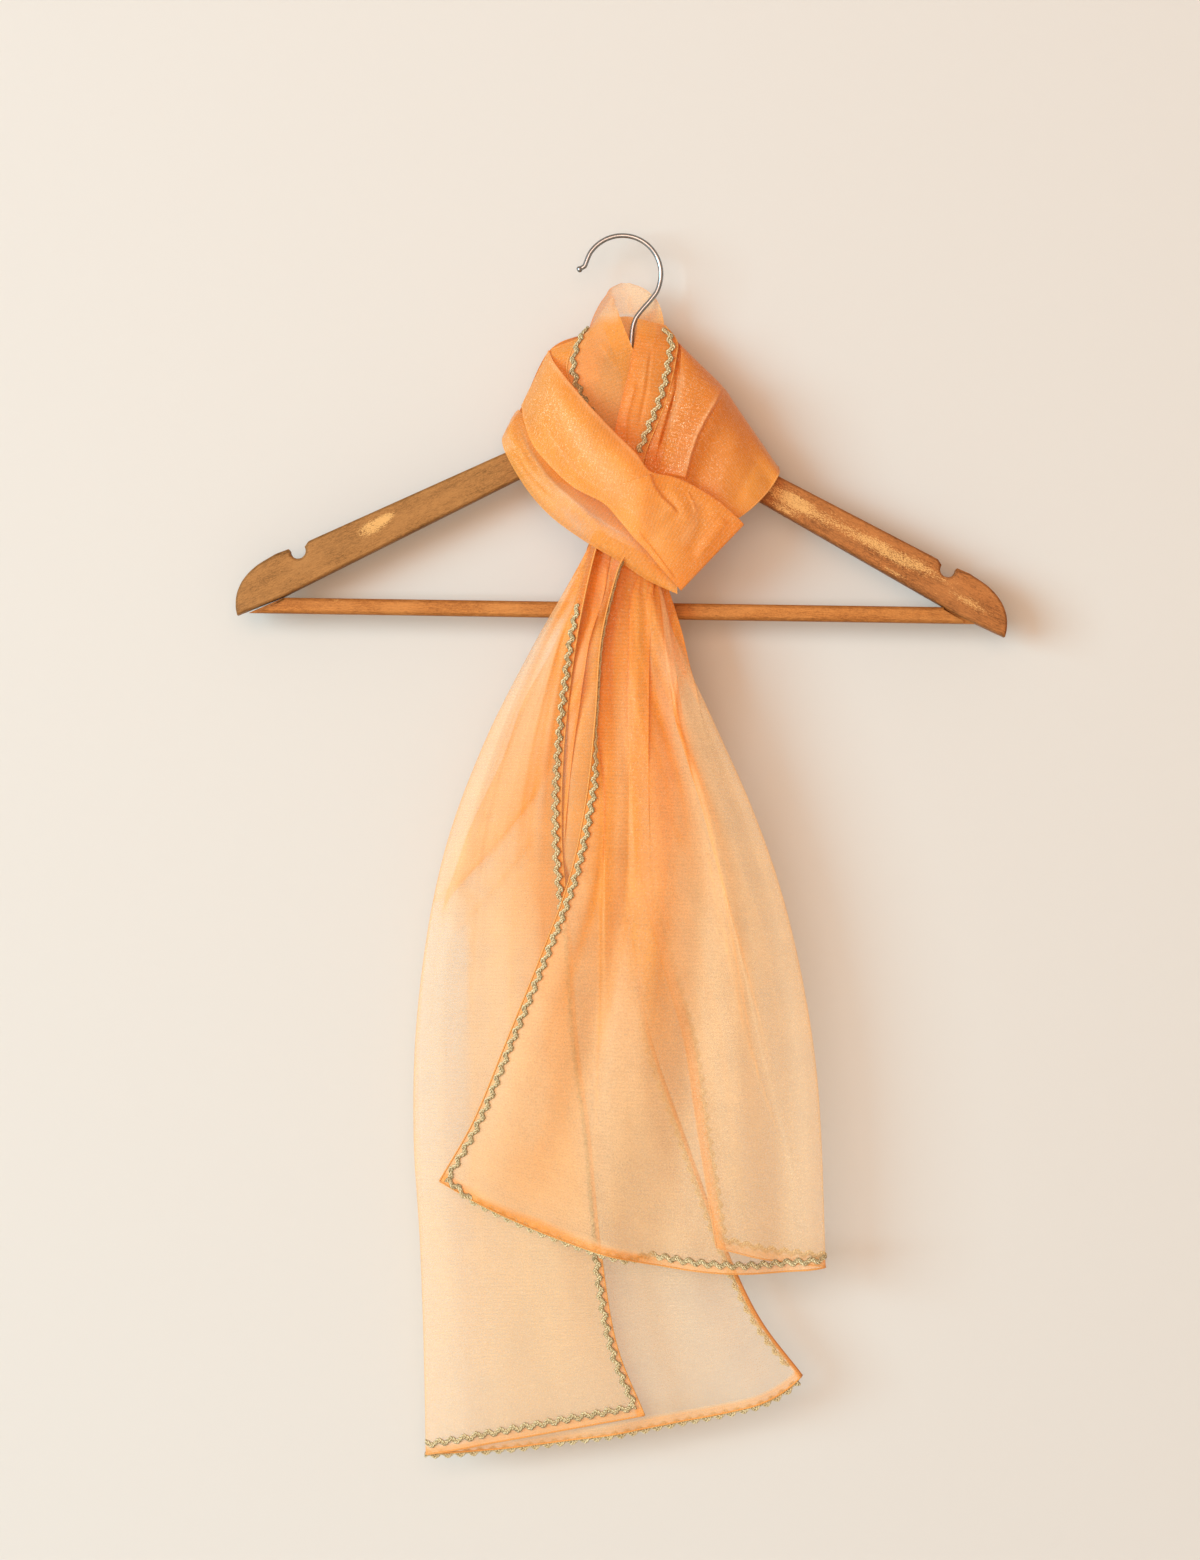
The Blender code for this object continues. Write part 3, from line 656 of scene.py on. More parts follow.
ARM = [
    # out     down
    (0.15, 64.0),
    (9.5, 64.6),
    (13.4, 69.0),
    (15.4, 80.0),
    (20.0, 94.0),
    (32.0, 107.4),
    (87.0, 134.7),
    (182.0, 180.7),
    (184.0, 186.0),
    (186.8, 190.4),
    (190.4, 189.6),
    (192.8, 185.4),
    (200.5, 188.5),
    (211.5, 195.8),
    (218.5, 203.5),
    (222.0, 211.5),
    (222.6, 219.0),
    (221.6, 224.4),
    (195.2, 213.0),
    (60.8, 140.9),
    (22.0, 121.5),
    (0.15, 116.0),
]
BAR_ENDS = [
    # side  top_out  top_down  low_out  low_down
    ("left", 195.0, 213.4, 215.0, 222.8),
    ("right", 186.0, 208.0, 204.6, 217.2),
]
BALL = [(5.0, 0.45), (4.7, 0.95), (4.1, 1.25), (3.4, 1.3), (2.7, 1.15), (2.2, 0.95), (1.0, 1.0)]


def arm_outline():
    """The arm's outline again, with its curves and its round notch made finer."""
    arm = np.array(ARM, float)

    def straight(a, b, count, ends=(0, 1)):
        return [tuple(a + (b - a) * t) for t in np.linspace(ends[0], ends[1], count)]

    line = [tuple(p) for p in curve_through(arm[0:7], 44)]
    line += straight(arm[6], arm[7], 24)[1:-1]
    # the notch: a round slot entered from the top edge
    a, b = arm[7], arm[11]
    centre = np.array([187.6, 186.3])
    radius = 4.5
    line += [tuple(a + np.array([-0.9, -0.4])), tuple(a + np.array([-0.1, 0.25]))]
    start = math.atan2(a[1] - centre[1], a[0] - centre[0])
    end = math.atan2(b[1] - centre[1], b[0] - centre[0])
    sweep = (start - end) % (2 * math.pi)
    for k in range(1, 18):
        t = start - sweep * k / 18
        line.append((centre[0] + radius * math.cos(t), centre[1] + radius * math.sin(t)))
    line += [tuple(b + np.array([0.2, 0.05]))]
    line += [tuple(p) for p in curve_through(arm[12:18], 34)]
    line += straight(arm[17], arm[18], 8)[1:]
    line += straight(arm[18], arm[19], 36)[1:-1]
    line += [tuple(p) for p in curve_through(arm[19:22], 16)]
    return np.array(line)


def leaned(points):
    a = math.radians(LEAN)
    p = np.asarray(points, float)
    x, y, down = p[:, 0], p[:, 1], p[:, 2]
    return np.stack([x * math.cos(a) - down * math.sin(a), y, -(x * math.sin(a) + down * math.cos(a))], 1)


def inset_ring(outline, inward, amount):
    """The outline moved inward. Where a sharp corner leaves no room for a place,
    it shares its nearest neighbour's."""
    ring = outline + inward * amount
    side = np.roll(outline, -1, axis=0) - outline
    gap = ring[:, None] - outline[None]
    t = np.clip((gap * side[None]).sum(2) / np.maximum((side * side).sum(1), 1e-9)[None], 0, 1)
    far = np.linalg.norm(gap - t[..., None] * side[None], axis=2).min(axis=1)
    room = np.flatnonzero(far >= amount * 0.97 - 1e-9)
    count = len(outline)
    apart = np.abs(np.arange(count)[:, None] - room[None])
    apart = np.minimum(apart, count - apart)
    return ring[room[apart.argmin(axis=1)]]


def slab(name, outline, half, ease, material, node, side, seed):
    """An outline (own-frame x, down) extruded front to back with round-eased long
    edges. The outline runs the same way round whichever side it is on."""
    outline = np.asarray(outline, float)
    if side < 0:
        outline = outline[::-1]
    count = len(outline)
    ahead = np.roll(outline, -1, axis=0) - outline
    behind = outline - np.roll(outline, 1, axis=0)

    def unit(v):
        return v / np.maximum(np.linalg.norm(v, axis=1, keepdims=True), 1e-9)

    t = unit(unit(ahead) + unit(behind))
    inward = np.stack([-t[:, 1], t[:, 0]], 1)
    steps = 5
    rings = []
    for k in range(steps + 1):
        a = math.pi / 2 * k / steps
        rings.append((ease * (1 - math.sin(a)), -half + ease * (1 - math.cos(a))))
    rings = rings + [(0.0, -half + ease + (2 * half - 2 * ease) * f) for f in (0.33, 0.66)]
    rings += [(r, -y) for r, y in rings[steps::-1]]
    points, weave, edges = [], [], []
    d = np.linalg.norm(ahead, axis=1)
    for inset, y in rings:
        ring = inset_ring(outline, inward, inset)
        points.append(leaned(np.stack([ring[:, 0], np.full(count, y), ring[:, 1]], 1)))
        # along the grain from the hanger's middle, and down from its top edge
        slope = 0.4843 * side if node != "hanger_bar" else 0.0
        top = 92.6 if node != "hanger_bar" else 210.5
        grain = np.stack([ring[:, 0] - AXIS_X, ring[:, 1] - top - slope * (ring[:, 0] - AXIS_X), np.full(count, y + 20.0 * seed)], 1)
        grain[:, 0] *= math.hypot(1, slope)
        grain[:, 1] /= math.hypot(1, slope)
        weave.append(grain)
        edges.append(np.full(count, 0.0 if inset > ease * 0.95 else 1.0))
    points = np.concatenate(points)
    faces = grid_faces(len(rings), count, wrap=True).tolist()
    weave, edges = np.concatenate(weave), np.concatenate(edges)
    work = bmesh.new()
    place = work.verts.layers.float_vector.new("weave")
    eased = work.verts.layers.float.new("edge")
    verts = []
    for p, w, e in zip(points, weave, edges):
        made = work.verts.new(p * MM)
        made[place], made[eased] = w, float(e)
        verts.append(made)
    for f in faces:
        work.faces.new([verts[i] for i in f])
    work.faces.new([verts[i] for i in range(count)][::-1])
    work.faces.new([verts[len(points) - count + i] for i in range(count)])
    bmesh.ops.remove_doubles(work, verts=work.verts, dist=1e-6)
    bmesh.ops.recalc_face_normals(work, faces=work.faces)
    mesh = bpy.data.meshes.new(name)
    work.to_mesh(mesh)
    work.free()
    mesh.shade_smooth()
    for face in mesh.polygons:
        face.use_smooth = len(face.vertices) <= 4
    mesh.set_sharp_from_angle(angle=math.radians(38))
    mesh.materials.append(material)
    obj = bpy.data.objects.new(name, mesh)
    bpy.context.scene.collection.objects.link(obj)
    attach(obj, "root")
    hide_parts(node)
    return obj


def build_hanger():
    outline = arm_outline()
    left = wood_material(
        "wood_arm_left",
        ((0.155, 0.072, 0.020), (0.37, 0.175, 0.050), (0.41, 0.20, 0.060)),
        0.80,
        [((-160.0, 7.5), (15.0, 5.4), 0.34), ((-152.0, 5.5), (8.0, 3.5), 0.16)],
    )
    right = wood_material(
        "wood_arm_right",
        ((0.165, 0.060, 0.017), (0.42, 0.155, 0.040), (0.48, 0.19, 0.052)),
        0.76,
        [
            ((96.0, 9.0), (30.0, 9.0), 0.16),
            ((140.0, 9.5), (58.0, 6.5), 0.15),
            ((186.0, 9.0), (36.0, 6.0), 0.15),
            ((222.0, 14.0), (18.0, 4.0), 0.16),
            ((102.0, 16.0), (14.0, 3.0), 0.14),
            ((174.0, 19.0), (10.0, 2.0), 0.13),
        ],
    )
    bar_wood = wood_material(
        "wood_bar",
        ((0.25, 0.085, 0.018), (0.50, 0.195, 0.044), (0.56, 0.24, 0.062)),
        0.86,
        [((-168.0, 4.0), (20.0, 2.5), 0.16)],
    )
    for side, name, node, wood in (
        (-1, "arm_left", "hanger_arm_left", left),
        (1, "arm_right", "hanger_arm_right", right),
    ):
        own = np.stack([AXIS_X + side * outline[:, 0], outline[:, 1]], 1)
        slab(name, own, WOOD / 2, 1.6, wood, node, side, 1 + side)
    (_, lx, lz, lx2, lz2), (_, rx, rz, rx2, rz2) = BAR_ENDS
    t = np.linspace(0, 1, 60)[:, None]
    a, b = np.array([AXIS_X - lx, lz]), np.array([AXIS_X + rx, rz])
    c, d = np.array([AXIS_X + rx2, rz2]), np.array([AXIS_X - lx2, lz2])
    bar = np.concatenate([a + (b - a) * t, c + (d - c) * t])
    slab("bar", bar, BAR / 2, 2.2, bar_wood, "hanger_bar", 1, 5)

    start, end = 168.0, -24.0
    route = []
    for i in range(9):
        g = math.radians(start + (end - start) * i / 8)
        route.append((HOOK_CENTRE[0] + HOOK_RADIUS * math.cos(g), 0.0, HOOK_CENTRE[1] + HOOK_RADIUS * math.sin(g)))
    route += [
        (17.6, 0.0, -36.0),
        (13.0, 0.0, -41.2),
        (9.3, 0.0, -46.2),
        (7.4, 0.0, -51.8),
        (6.8, 0.0, -57.5),
        (6.5, 0.0, -63.4),
    ]
    line = curve_through(route, 160)
    tip, ahead = line[0], line[0] - line[3]
    ahead = ahead / np.linalg.norm(ahead)
    ahead = np.array([ahead[0] - 0.75, 0.0, ahead[2] + 0.25])
    ahead = ahead / np.linalg.norm(ahead)
    ball = curve_through(BALL, 26)
    ends = [tip + ahead * d for d, _ in ball]
    sizes = np.concatenate([ball[:, 1], np.ones(len(line))]) * WIRE / 2
    line = np.concatenate([ends, line])
    hook = joined("hook", [tube_parts(line, sizes, 20, 3.0)], steel_material("steel_wire"))
    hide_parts("hanger_hook")


# ---------------------------------------------------------- the wound stretches

COLLAR = [
    # level  left   right  side_y  mid_y
    (-25.2, 0.8, 5.6, 6.0, 7.0),
    (-28.4, -5.4, 13.6, 4.5, 9.0),
    (-33.0, -8.4, 19.2, 3.0, 11.0),
    (-38.2, -12.0, 22.8, 2.2, 12.0),
    (-46.0, -15.8, 25.0, 2.0, 12.5),
    (-55.4, -18.6, 26.0, 2.0, 12.5),
    (-70.0, -20.0, 26.0, 4.0, 12.0),
    (-86.0, -16.0, 24.0, 7.0, 11.5),
]
LAPEL_LEFT = [
    # edge_x  edge_z  edge_y  fold_x  fold_z  fold_y
    (-18.0, -53.0, 0.6, -4.4, -34.0, 0.6),
    (-25.0, -60.0, -7.0, -1.2, -43.8, -8.0),
    (-29.4, -70.0, -9.6, 3.4, -55.5, -10.0),
    (-30.4, -79.5, -10.6, 8.0, -67.1, -11.0),
    (-25.4, -94.0, -11.4, 12.6, -80.5, -11.6),
    (-15.6, -111.0, -12.4, 18.3, -97.8, -12.4),
    (-3.0, -134.0, -13.6, 25.2, -123.8, -13.6),
    (8.0, -157.0, -14.6, 29.7, -152.7, -14.6),
]
LAPEL_RIGHT = [
    # edge_x  edge_z  edge_y  fold_x  fold_z  fold_y
    (26.0, -50.6, -0.4, 10.3, -47.4, -7.0),
    (32.6, -60.5, -8.4, 9.1, -57.6, -13.4),
    (32.2, -69.8, -11.0, 7.4, -66.3, -14.4),
    (29.6, -83.6, -12.8, 4.5, -80.8, -15.4),
    (25.6, -98.0, -14.4, 1.1, -94.1, -16.2),
    (19.8, -112.2, -15.8, -2.4, -109.7, -17.0),
    (13.4, -130.0, -17.6, -5.8, -129.9, -18.4),
    (10.4, -155.0, -19.0, -8.1, -155.8, -19.4),
]
SHOULDER_LEFT = [
    # outer_x outer_z outer_y inner_x inner_z inner_y
    (-40.1, -63.6, 4.0, -21.0, -56.2, 4.0),
    (-38.6, -70.5, -3.0, -19.0, -63.0, -3.4),
    (-33.5, -80.0, -6.0, -14.5, -72.0, -5.6),
    (-26.0, -88.0, -7.6, -11.0, -82.0, -7.2),
]
SHOULDER_RIGHT = [
    # tuck_x tuck_y  left_x left_z left_y  ridge_x ridge_z ridge_y  right_x right_z right_y
    (10.0, -16.5, 19.5, -143.0, -24.0, 37.0, -145.5, -27.0, 66.5, -164.0, -25.0),
    (14.0, -14.9, 26.5, -122.0, -21.5, 40.6, -127.5, -26.5, 73.4, -159.0, -22.5),
    (19.5, -13.0, 30.4, -98.9, -19.0, 51.2, -105.0, -25.0, 80.4, -152.4, -19.0),
    (24.0, -10.6, 35.0, -78.5, -15.0, 56.6, -94.5, -20.0, 86.6, -145.0, -14.0),
    (28.4, -3.0, 35.4, -64.5, -7.6, 59.4, -88.0, -10.0, 91.2, -137.0, -10.5),
    (28.8, 4.2, 31.4, -57.6, 4.0, 60.2, -86.2, 4.0, 91.6, -132.0, 4.0),
]
BACK_WRAP = [
    # top x, y, z          upper x, y, z           lower x, y, z            bottom x, y, z
    ((31.4, 5.0, -57.6), (47.5, 5.0, -73.5), (61.0, 5.0, -88.5), (91.6, 5.0, -132.0)),
    ((29.0, 12.0, -55.0), (43.0, 12.0, -76.0), (60.0, 12.0, -100.0), (88.0, 10.6, -136.0)),
    ((19.0, 16.5, -47.5), (26.0, 20.0, -78.0), (38.0, 20.5, -112.0), (52.0, 15.0, -146.0)),
    ((4.0, 17.5, -43.2), (5.0, 22.0, -78.0), (6.0, 23.0, -115.0), (8.0, 16.0, -150.0)),
    ((-10.0, 16.5, -46.5), (-14.0, 20.0, -76.0), (-24.0, 20.5, -108.0), (-34.0, 15.0, -140.0)),
    ((-17.0, 12.0, -52.0), (-36.0, 12.0, -72.0), (-50.0, 12.0, -96.0), (-58.0, 10.0, -122.0)),
    ((-17.8, 5.0, -53.8), (-40.8, 5.0, -64.4), (-57.0, 5.0, -97.0), (-66.4, 5.0, -111.0)),
]
BAND = [
    # ridge_x ridge_z ridge_y  low_x  low_z  low_y  puff
    (-41.6, -64.8, 4.0, -57.2, -96.4, 4.0, 0.0),
    (-38.6, -73.0, -10.0, -55.0, -108.0, -10.0, 3.0),
    (-32.6, -82.0, -20.0, -48.0, -124.6, -24.0, 5.0),
    (-17.3, -101.0, -29.0, -28.6, -145.2, -33.0, 5.5),
    (-1.9, -117.4, -34.0, -9.9, -155.9, -37.0, 5.0),
    (8.9, -128.4, -37.0, -0.2, -166.3, -39.0, 4.5),
    (16.8, -138.6, -39.0, 7.2, -175.4, -40.0, 4.0),
]
KNOT_FOLD = [
    # ridge_x ridge_z ridge_y  low_x  low_z  low_y  puff
    (17.6, -139.2, -38.0, 8.0, -176.2, -40.0, 3.6),
    (29.4, -141.4, -35.0, 14.0, -182.2, -40.0, 3.0),
    (41.9, -146.9, -35.0, 20.2, -189.6, -39.0, 3.0),
    (56.1, -155.9, -34.0, 27.1, -197.4, -37.0, 2.5),
    (69.2, -167.6, -32.0, 34.3, -205.2, -34.0, 1.0),
    (66.0, -168.0, -29.6, 33.0, -203.4, -31.4, 0.0),
    (54.0, -163.0, -29.6, 30.0, -197.0, -31.4, 0.0),
]
ROLL = [
    # hid_x hid_z hid_y  top_x  top_z  top_y  out_x  out_z  out_y  puff
    (-58.8, -98.8, 4.0, -61.0, -100.8, 4.0, -66.2, -110.6, 4.0, 0.0),
    (-54.6, -104.0, -3.6, -60.8, -106.6, -6.6, -68.0, -118.4, -8.4, 2.0),
    (-42.0, -119.0, -16.0, -49.6, -127.4, -21.0, -63.4, -130.6, -17.0, 4.0),
    (-29.0, -134.0, -18.0, -37.0, -142.4, -28.0, -52.2, -148.8, -23.0, 4.5),
    (-17.0, -142.0, -18.0, -25.6, -150.6, -32.0, -38.4, -163.9, -27.0, 4.5),
    (-2.0, -152.0, -20.0, -10.4, -164.2, -33.0, -20.1, -177.1, -28.0, 4.0),
    (11.0, -166.0, -26.0, 6.6, -175.6, -32.4, -1.9, -187.9, -28.0, 3.0),
    (22.0, -183.0, -28.8, 20.5, -190.0, -31.0, 15.4, -199.2, -27.8, 2.0),
    (31.6, -195.6, -27.6, 32.4, -201.6, -28.6, 32.6, -207.2, -28.0, 0.6),
]


def pair_section(row, out=0.0):
    (ax, az, ay), (bx, bz, by) = row
    points = []
    for t in (0.0, 0.33, 0.67, 1.0):
        bow = out * 4 * t * (1 - t)
        points.append((ax + (bx - ax) * t, ay + (by - ay) * t - bow, az + (bz - az) * t))
    return points


def collar_grid(along, across):
    sections = []
    for level, left, right, side_y, mid_y in COLLAR:
        ts = (0.0, 0.15, 0.5, 0.85, 1.0)
        bow = (0.0, 0.55, 1.0, 0.55, 0.0)
        sections.append([(left + (right - left) * t, side_y + (mid_y - side_y) * b, level) for t, b in zip(ts, bow)])
    return loft(sections, along, across)


def lapel_grid(table, bow, along, across):
    return loft([pair_section(((a, b, c), (d, e, f)), out=bow) for a, b, c, d, e, f in table], along, across)


def shoulder_right_grid(along, across):
    sections = []
    for tx, ty, lx, lz, ly, rx, rz, ry, ex, ez, ey in SHOULDER_RIGHT:
        step = 1.0 if ry < 0 else 0.0
        sections.append(
            [
                (tx, ty, lz + 1.0),
                (lx - 0.8, ty + (ly - ty) * 0.3, lz + 0.5),
                (lx, ly, lz),
                (lx + (rx - lx) * 0.45, ly + (ry - ly) * 0.75, lz + (rz - lz) * 0.45),
                (rx, ry, rz),
                (rx + (ex - rx) * 0.22, ry + (3.6 * step), rz + (ez - rz) * 0.22),
                (rx + (ex - rx) * 0.6, (ry + ey) / 2 + 0.6 * step, rz + (ez - rz) * 0.6),
                (ex, ey, ez),
            ]
        )
    return loft(sections, along, across)


def band_grid(table, along, across):
    sections = []
    for rx, rz, ry, lx, lz, ly, puff in table:
        turn = 1.6 if puff > 0.5 else 0.0
        mid = (rx + lx) / 2, (rz + lz) / 2
        sections.append(
            [
                (rx + (mid[0] - rx) * 0.03, ry + turn, rz + (mid[1] - rz) * 0.03),
                (rx, ry, rz),
                (rx + (lx - rx) * 0.3, ry + (ly - ry) * 0.3 - puff, rz + (lz - rz) * 0.3),
                (rx + (lx - rx) * 0.7, ry + (ly - ry) * 0.7 - puff, rz + (lz - rz) * 0.7),
                (lx, ly, lz),
            ]
        )
    return loft(sections, along, across)


def roll_grid(along, across):
    sections = []
    for hx, hz, hy, tx, tz, ty, ox, oz, oy, puff in ROLL:
        sections.append(
            [
                (hx, hy, hz),
                (tx, ty, tz),
                (tx + (ox - tx) * 0.4, (ty + oy) / 2 - puff, tz + (oz - tz) * 0.4),
                (tx + (ox - tx) * 0.8, (ty + oy) / 2 - puff * 0.5, tz + (oz - tz) * 0.8),
                (ox, oy, oz),
            ]
        )
    return loft(sections, along, across)


# --------------------------------------------------------------------- the tails

REAR_TAIL = [
    # edge_x  edge_z  fold_x  fold_z  back_x  back_z  front  back
    (-8.0, -172.0, -14.0, -170.0, 15.4, -184.0, -19.0, -9.5),
    (-14.4, -183.0, -20.6, -183.0, 14.6, -200.0, -19.5, -9.5),
    (-25.0, -233.2, -48.8, -233.0, 12.6, -232.7, -19.5, -9.5),
    (-32.0, -290.4, -78.2, -290.3, 8.0, -290.2, -17.5, -9.0),
    (-33.6, -347.7, -100.0, -347.8, 4.0, -347.8, -16.5, -8.8),
    (-28.4, -405.1, -112.2, -405.3, 7.0, -405.4, -15.8, -8.8),
    (-24.6, -462.5, -119.1, -462.8, 17.5, -463.0, -15.4, -8.8),
    (-17.1, -519.9, -120.3, -520.3, 37.5, -520.6, -15.2, -8.8),
    (-11.9, -577.3, -116.8, -577.8, 58.5, -578.2, -15.2, -8.8),
    (-2.5, -636.0, -114.5, -640.0, 79.0, -622.3, -15.2, -8.8),
    (14.0, -678.0, -113.4, -701.0, 104.5, -656.5, -15.2, -8.8),
]
FRONT_TAIL = [
    # edge_x  edge_z  fold_x  fold_z  back_x  back_z  front  back
    (3.6, -184.0, 20.5, -190.0, 12.4, -189.0, -23.0, -14.5),
    (-2.0, -195.5, 24.4, -204.7, 10.4, -204.3, -24.6, -15.0),
    (-11.0, -233.5, 32.4, -233.3, 6.2, -233.0, -27.2, -18.6),
    (-14.4, -279.1, 54.7, -281.8, 4.4, -278.9, -28.0, -20.6),
    (-19.5, -324.7, 75.3, -327.6, 6.2, -324.7, -28.0, -21.0),
    (-29.2, -370.3, 91.9, -373.3, 12.0, -370.6, -28.0, -21.2),
    (-46.2, -416.0, 103.4, -419.0, 23.5, -416.4, -28.0, -21.2),
    (-64.6, -461.6, 111.9, -466.5, 36.5, -462.2, -28.0, -21.2),
    (-83.4, -507.3, 115.9, -513.4, 43.5, -508.0, -28.0, -21.2),
    (-103.2, -542.2, 118.2, -591.5, 55.0, -581.0, -28.0, -21.2),
]
REAR_SAG = (0.0, 9.5)
FRONT_SAG = (21.0, 2.0)

# Lengthwise pleats. Each has its depth, front to back (negative where the part
# past it lies in front), and a row for each level: "turn" is where the cloth
# turns back and "again" where it turns on again, so it is three layers thick
# between them until they meet, and below that a soft wave.
FRONT_TAIL_FRONT = [
    (-0.9, [
        # level  turn   again
        (-190, 5.5, 2.0), (-233, -1.5, -5.9), (-273, -5.2, -9.3), (-336, -7.8, -9.8),
        (-410, -10.4, -9.0), (-482, -12.5, -6.5), (-600, -16.0, -4.0),
    ]),
    (-0.8, [
        (-190, 17.0, 12.5), (-210, 11.0, 5.6), (-229, 9.5, 5.0), (-268, 6.8, 4.4),
        (-325, 5.0, 6.7), (-382, 4.0, 9.0), (-480, 6.0, 14.0), (-600, 8.0, 20.0),
    ]),
    (0.35, [
        (-190, 20.3, 16.5), (-222, 18.1, 13.5), (-245, 17.0, 13.0), (-302, 16.4, 14.5),
        (-370, 16.6, 19.0), (-480, 24.0, 32.0), (-600, 34.0, 45.0),
    ]),
    (-1.3, [
        (-190, 21.5, 19.5), (-213, 27.0, 23.3), (-248, 31.5, 26.1), (-279, 37.0, 30.7),
        (-330, 51.5, 46.1), (-373, 61.0, 56.4), (-413, 70.0, 67.2), (-471, 82.5, 82.1),
        (-529, 96.0, 99.0), (-600, 106.0, 112.0),
    ]),
]
FRONT_TAIL_BACK = [
    (-0.9, [
        (-190, 14.0, 23.0), (-208, 18.0, 29.7), (-228, 24.0, 36.0), (-249, 33.0, 40.6),
        (-258, 40.0, 43.6), (-282, 50.0, 47.0), (-330, 70.0, 64.0), (-420, 97.0, 89.0), (-600, 108.0, 99.0),
    ]),
    (0.9, [
        (-190, 13.6, 18.0), (-230, 13.0, 24.0), (-280, 14.5, 30.0), (-307, 16.2, 32.0),
        (-340, 16.5, 32.0), (-370, 17.5, 28.0), (-395, 22.5, 24.5), (-416, 31.0, 28.0),
        (-462, 50.0, 44.0), (-507, 62.0, 55.0), (-600, 80.0, 71.0),
    ]),
]
REAR_TAIL_FRONT = [
    (0.7, [(-170, -11.0, -12.0), (-233, -36.0, -40.0), (-290, -55.0, -61.0), (-348, -68.0, -76.0), (-520, -66.0, -80.0), (-720, -58.0, -74.0)]),
]
REAR_TAIL_BACK = [
    (0.9, [
        (-170, -11.0, -12.0), (-210, -22.0, -27.0), (-239, -27.0, -40.0), (-268, -30.0, -57.6),
        (-300, -35.0, -68.0), (-322, -46.0, -79.5), (-348, -68.0, -91.6), (-367, -85.0, -97.3),
        (-387, -103.0, -105.0), (-405, -103.0, -96.0), (-460, -102.0, -92.0), (-560, -96.0, -84.0), (-720, -92.0, -78.0),
    ]),
    (0.9, [
        (-170, -2.0, -9.0), (-210, -9.0, -21.3), (-228, -15.6, -25.0), (-238, -18.0, -26.5),
        (-267, -21.9, -30.0), (-295, -26.5, -31.0), (-333, -30.6, -31.5), (-382, -35.0, -31.0),
        (-440, -39.0, -29.0), (-560, -44.0, -27.0), (-720, -42.0, -22.0),
    ]),
    (0.9, [
        (-170, 5.0, -1.0), (-198, 1.1, -6.0), (-221, -5.0, -10.5), (-244, -8.5, -13.0),
        (-267, -9.8, -13.5), (-302, -11.6, -13.9), (-325, -13.4, -13.4), (-380, -16.0, -12.0),
        (-440, -14.0, -5.0), (-560, 6.0, 17.0), (-720, 34.0, 46.0),
    ]),
    (0.9, [
        (-170, 10.0, 4.0), (-215, 6.0, -1.0), (-245, 3.5, -3.0), (-290, 1.0, -2.0),
        (-340, -1.0, 0.5), (-405, 0.0, 6.0), (-462, 8.0, 16.0), (-577, 34.0, 45.0), (-720, 62.0, 76.0),
    ]),
]


# Broad soft folds of each tail's layers: where across the layer from the free
# edge (0) to the fold (1), how wide, how far forward (mm where the layer is at
# its widest), and between which shares of the length.
FOLDS = [
    [
        [(0.22, 0.10, 2.2, 0.0, 0.9), (0.52, 0.12, -2.0, 0.1, 0.8), (0.80, 0.09, 1.8, 0.0, 1.1)],
        [(0.12, 0.06, 1.8, 0.1, 1.1), (0.30, 0.08, -2.2, 0.0, 0.9), (0.50, 0.07, 2.4, 0.2, 1.2), (0.68, 0.07, -2.0, 0.1, 1.0), (0.88, 0.06, 1.6, 0.0, 0.8)],
    ],
    [
        [(0.10, 0.07, 2.0, 0.2, 1.0), (0.27, 0.06, -2.4, 0.1, 0.9), (0.43, 0.07, 2.6, 0.0, 1.2), (0.60, 0.06, -2.6, 0.2, 1.2), (0.74, 0.07, 3.0, 0.1, 1.0), (0.90, 0.05, -1.8, 0.2, 1.2)],
        [(0.15, 0.08, -1.8, 0.2, 1.2), (0.38, 0.08, 2.0, 0.0, 1.0), (0.62, 0.09, -2.2, 0.1, 1.1), (0.86, 0.06, 1.6, 0.2, 1.2)],
    ],
]


# Where the finer folds crowd together or lie wider apart: the tail, the layer
# (0 front, 1 back), x, z, half-width, half-height and how many more layers.
CLOSER = [
    (0, 1, -16.0, -215.0, 12.0, 60.0, 1.0),
    (0, 1, -19.0, -290.0, 12.0, 60.0, 1.5),
    (0, 1, -4.0, -250.0, 12.0, 90.0, 1.2),
    (0, 1, 0.0, -390.0, 14.0, 70.0, 2.0),
    (0, 0, -60.0, -330.0, 30.0, 70.0, 0.8),
    (0, 0, -95.0, -560.0, 30.0, 80.0, 0.5),
    (1, 1, 14.0, -215.0, 12.0, 60.0, 5.0),
    (1, 1, 20.0, -300.0, 14.0, 70.0, 2.0),
    (1, 0, -4.0, -300.0, 14.0, 90.0, 2.2),
    (1, 0, 14.0, -375.0, 20.0, 85.0, 1.3),
    (1, 0, 4.0, -350.0, 34.0, 110.0, 1.2),
    (1, 0, 26.0, -455.0, 16.0, 60.0, 0.6),
    (0, 0, -50.0, -400.0, 36.0, 110.0, 0.7),
    (0, 0, -62.0, -225.0, 34.0, 45.0, -1.6),
    (0, 1, -25.0, -338.0, 13.0, 50.0, 2.4),
    (1, 0, -30.0, -470.0, 22.0, 60.0, 1.0),
    (1, 0, -52.0, -540.0, 30.0, 30.0, 1.4),
]
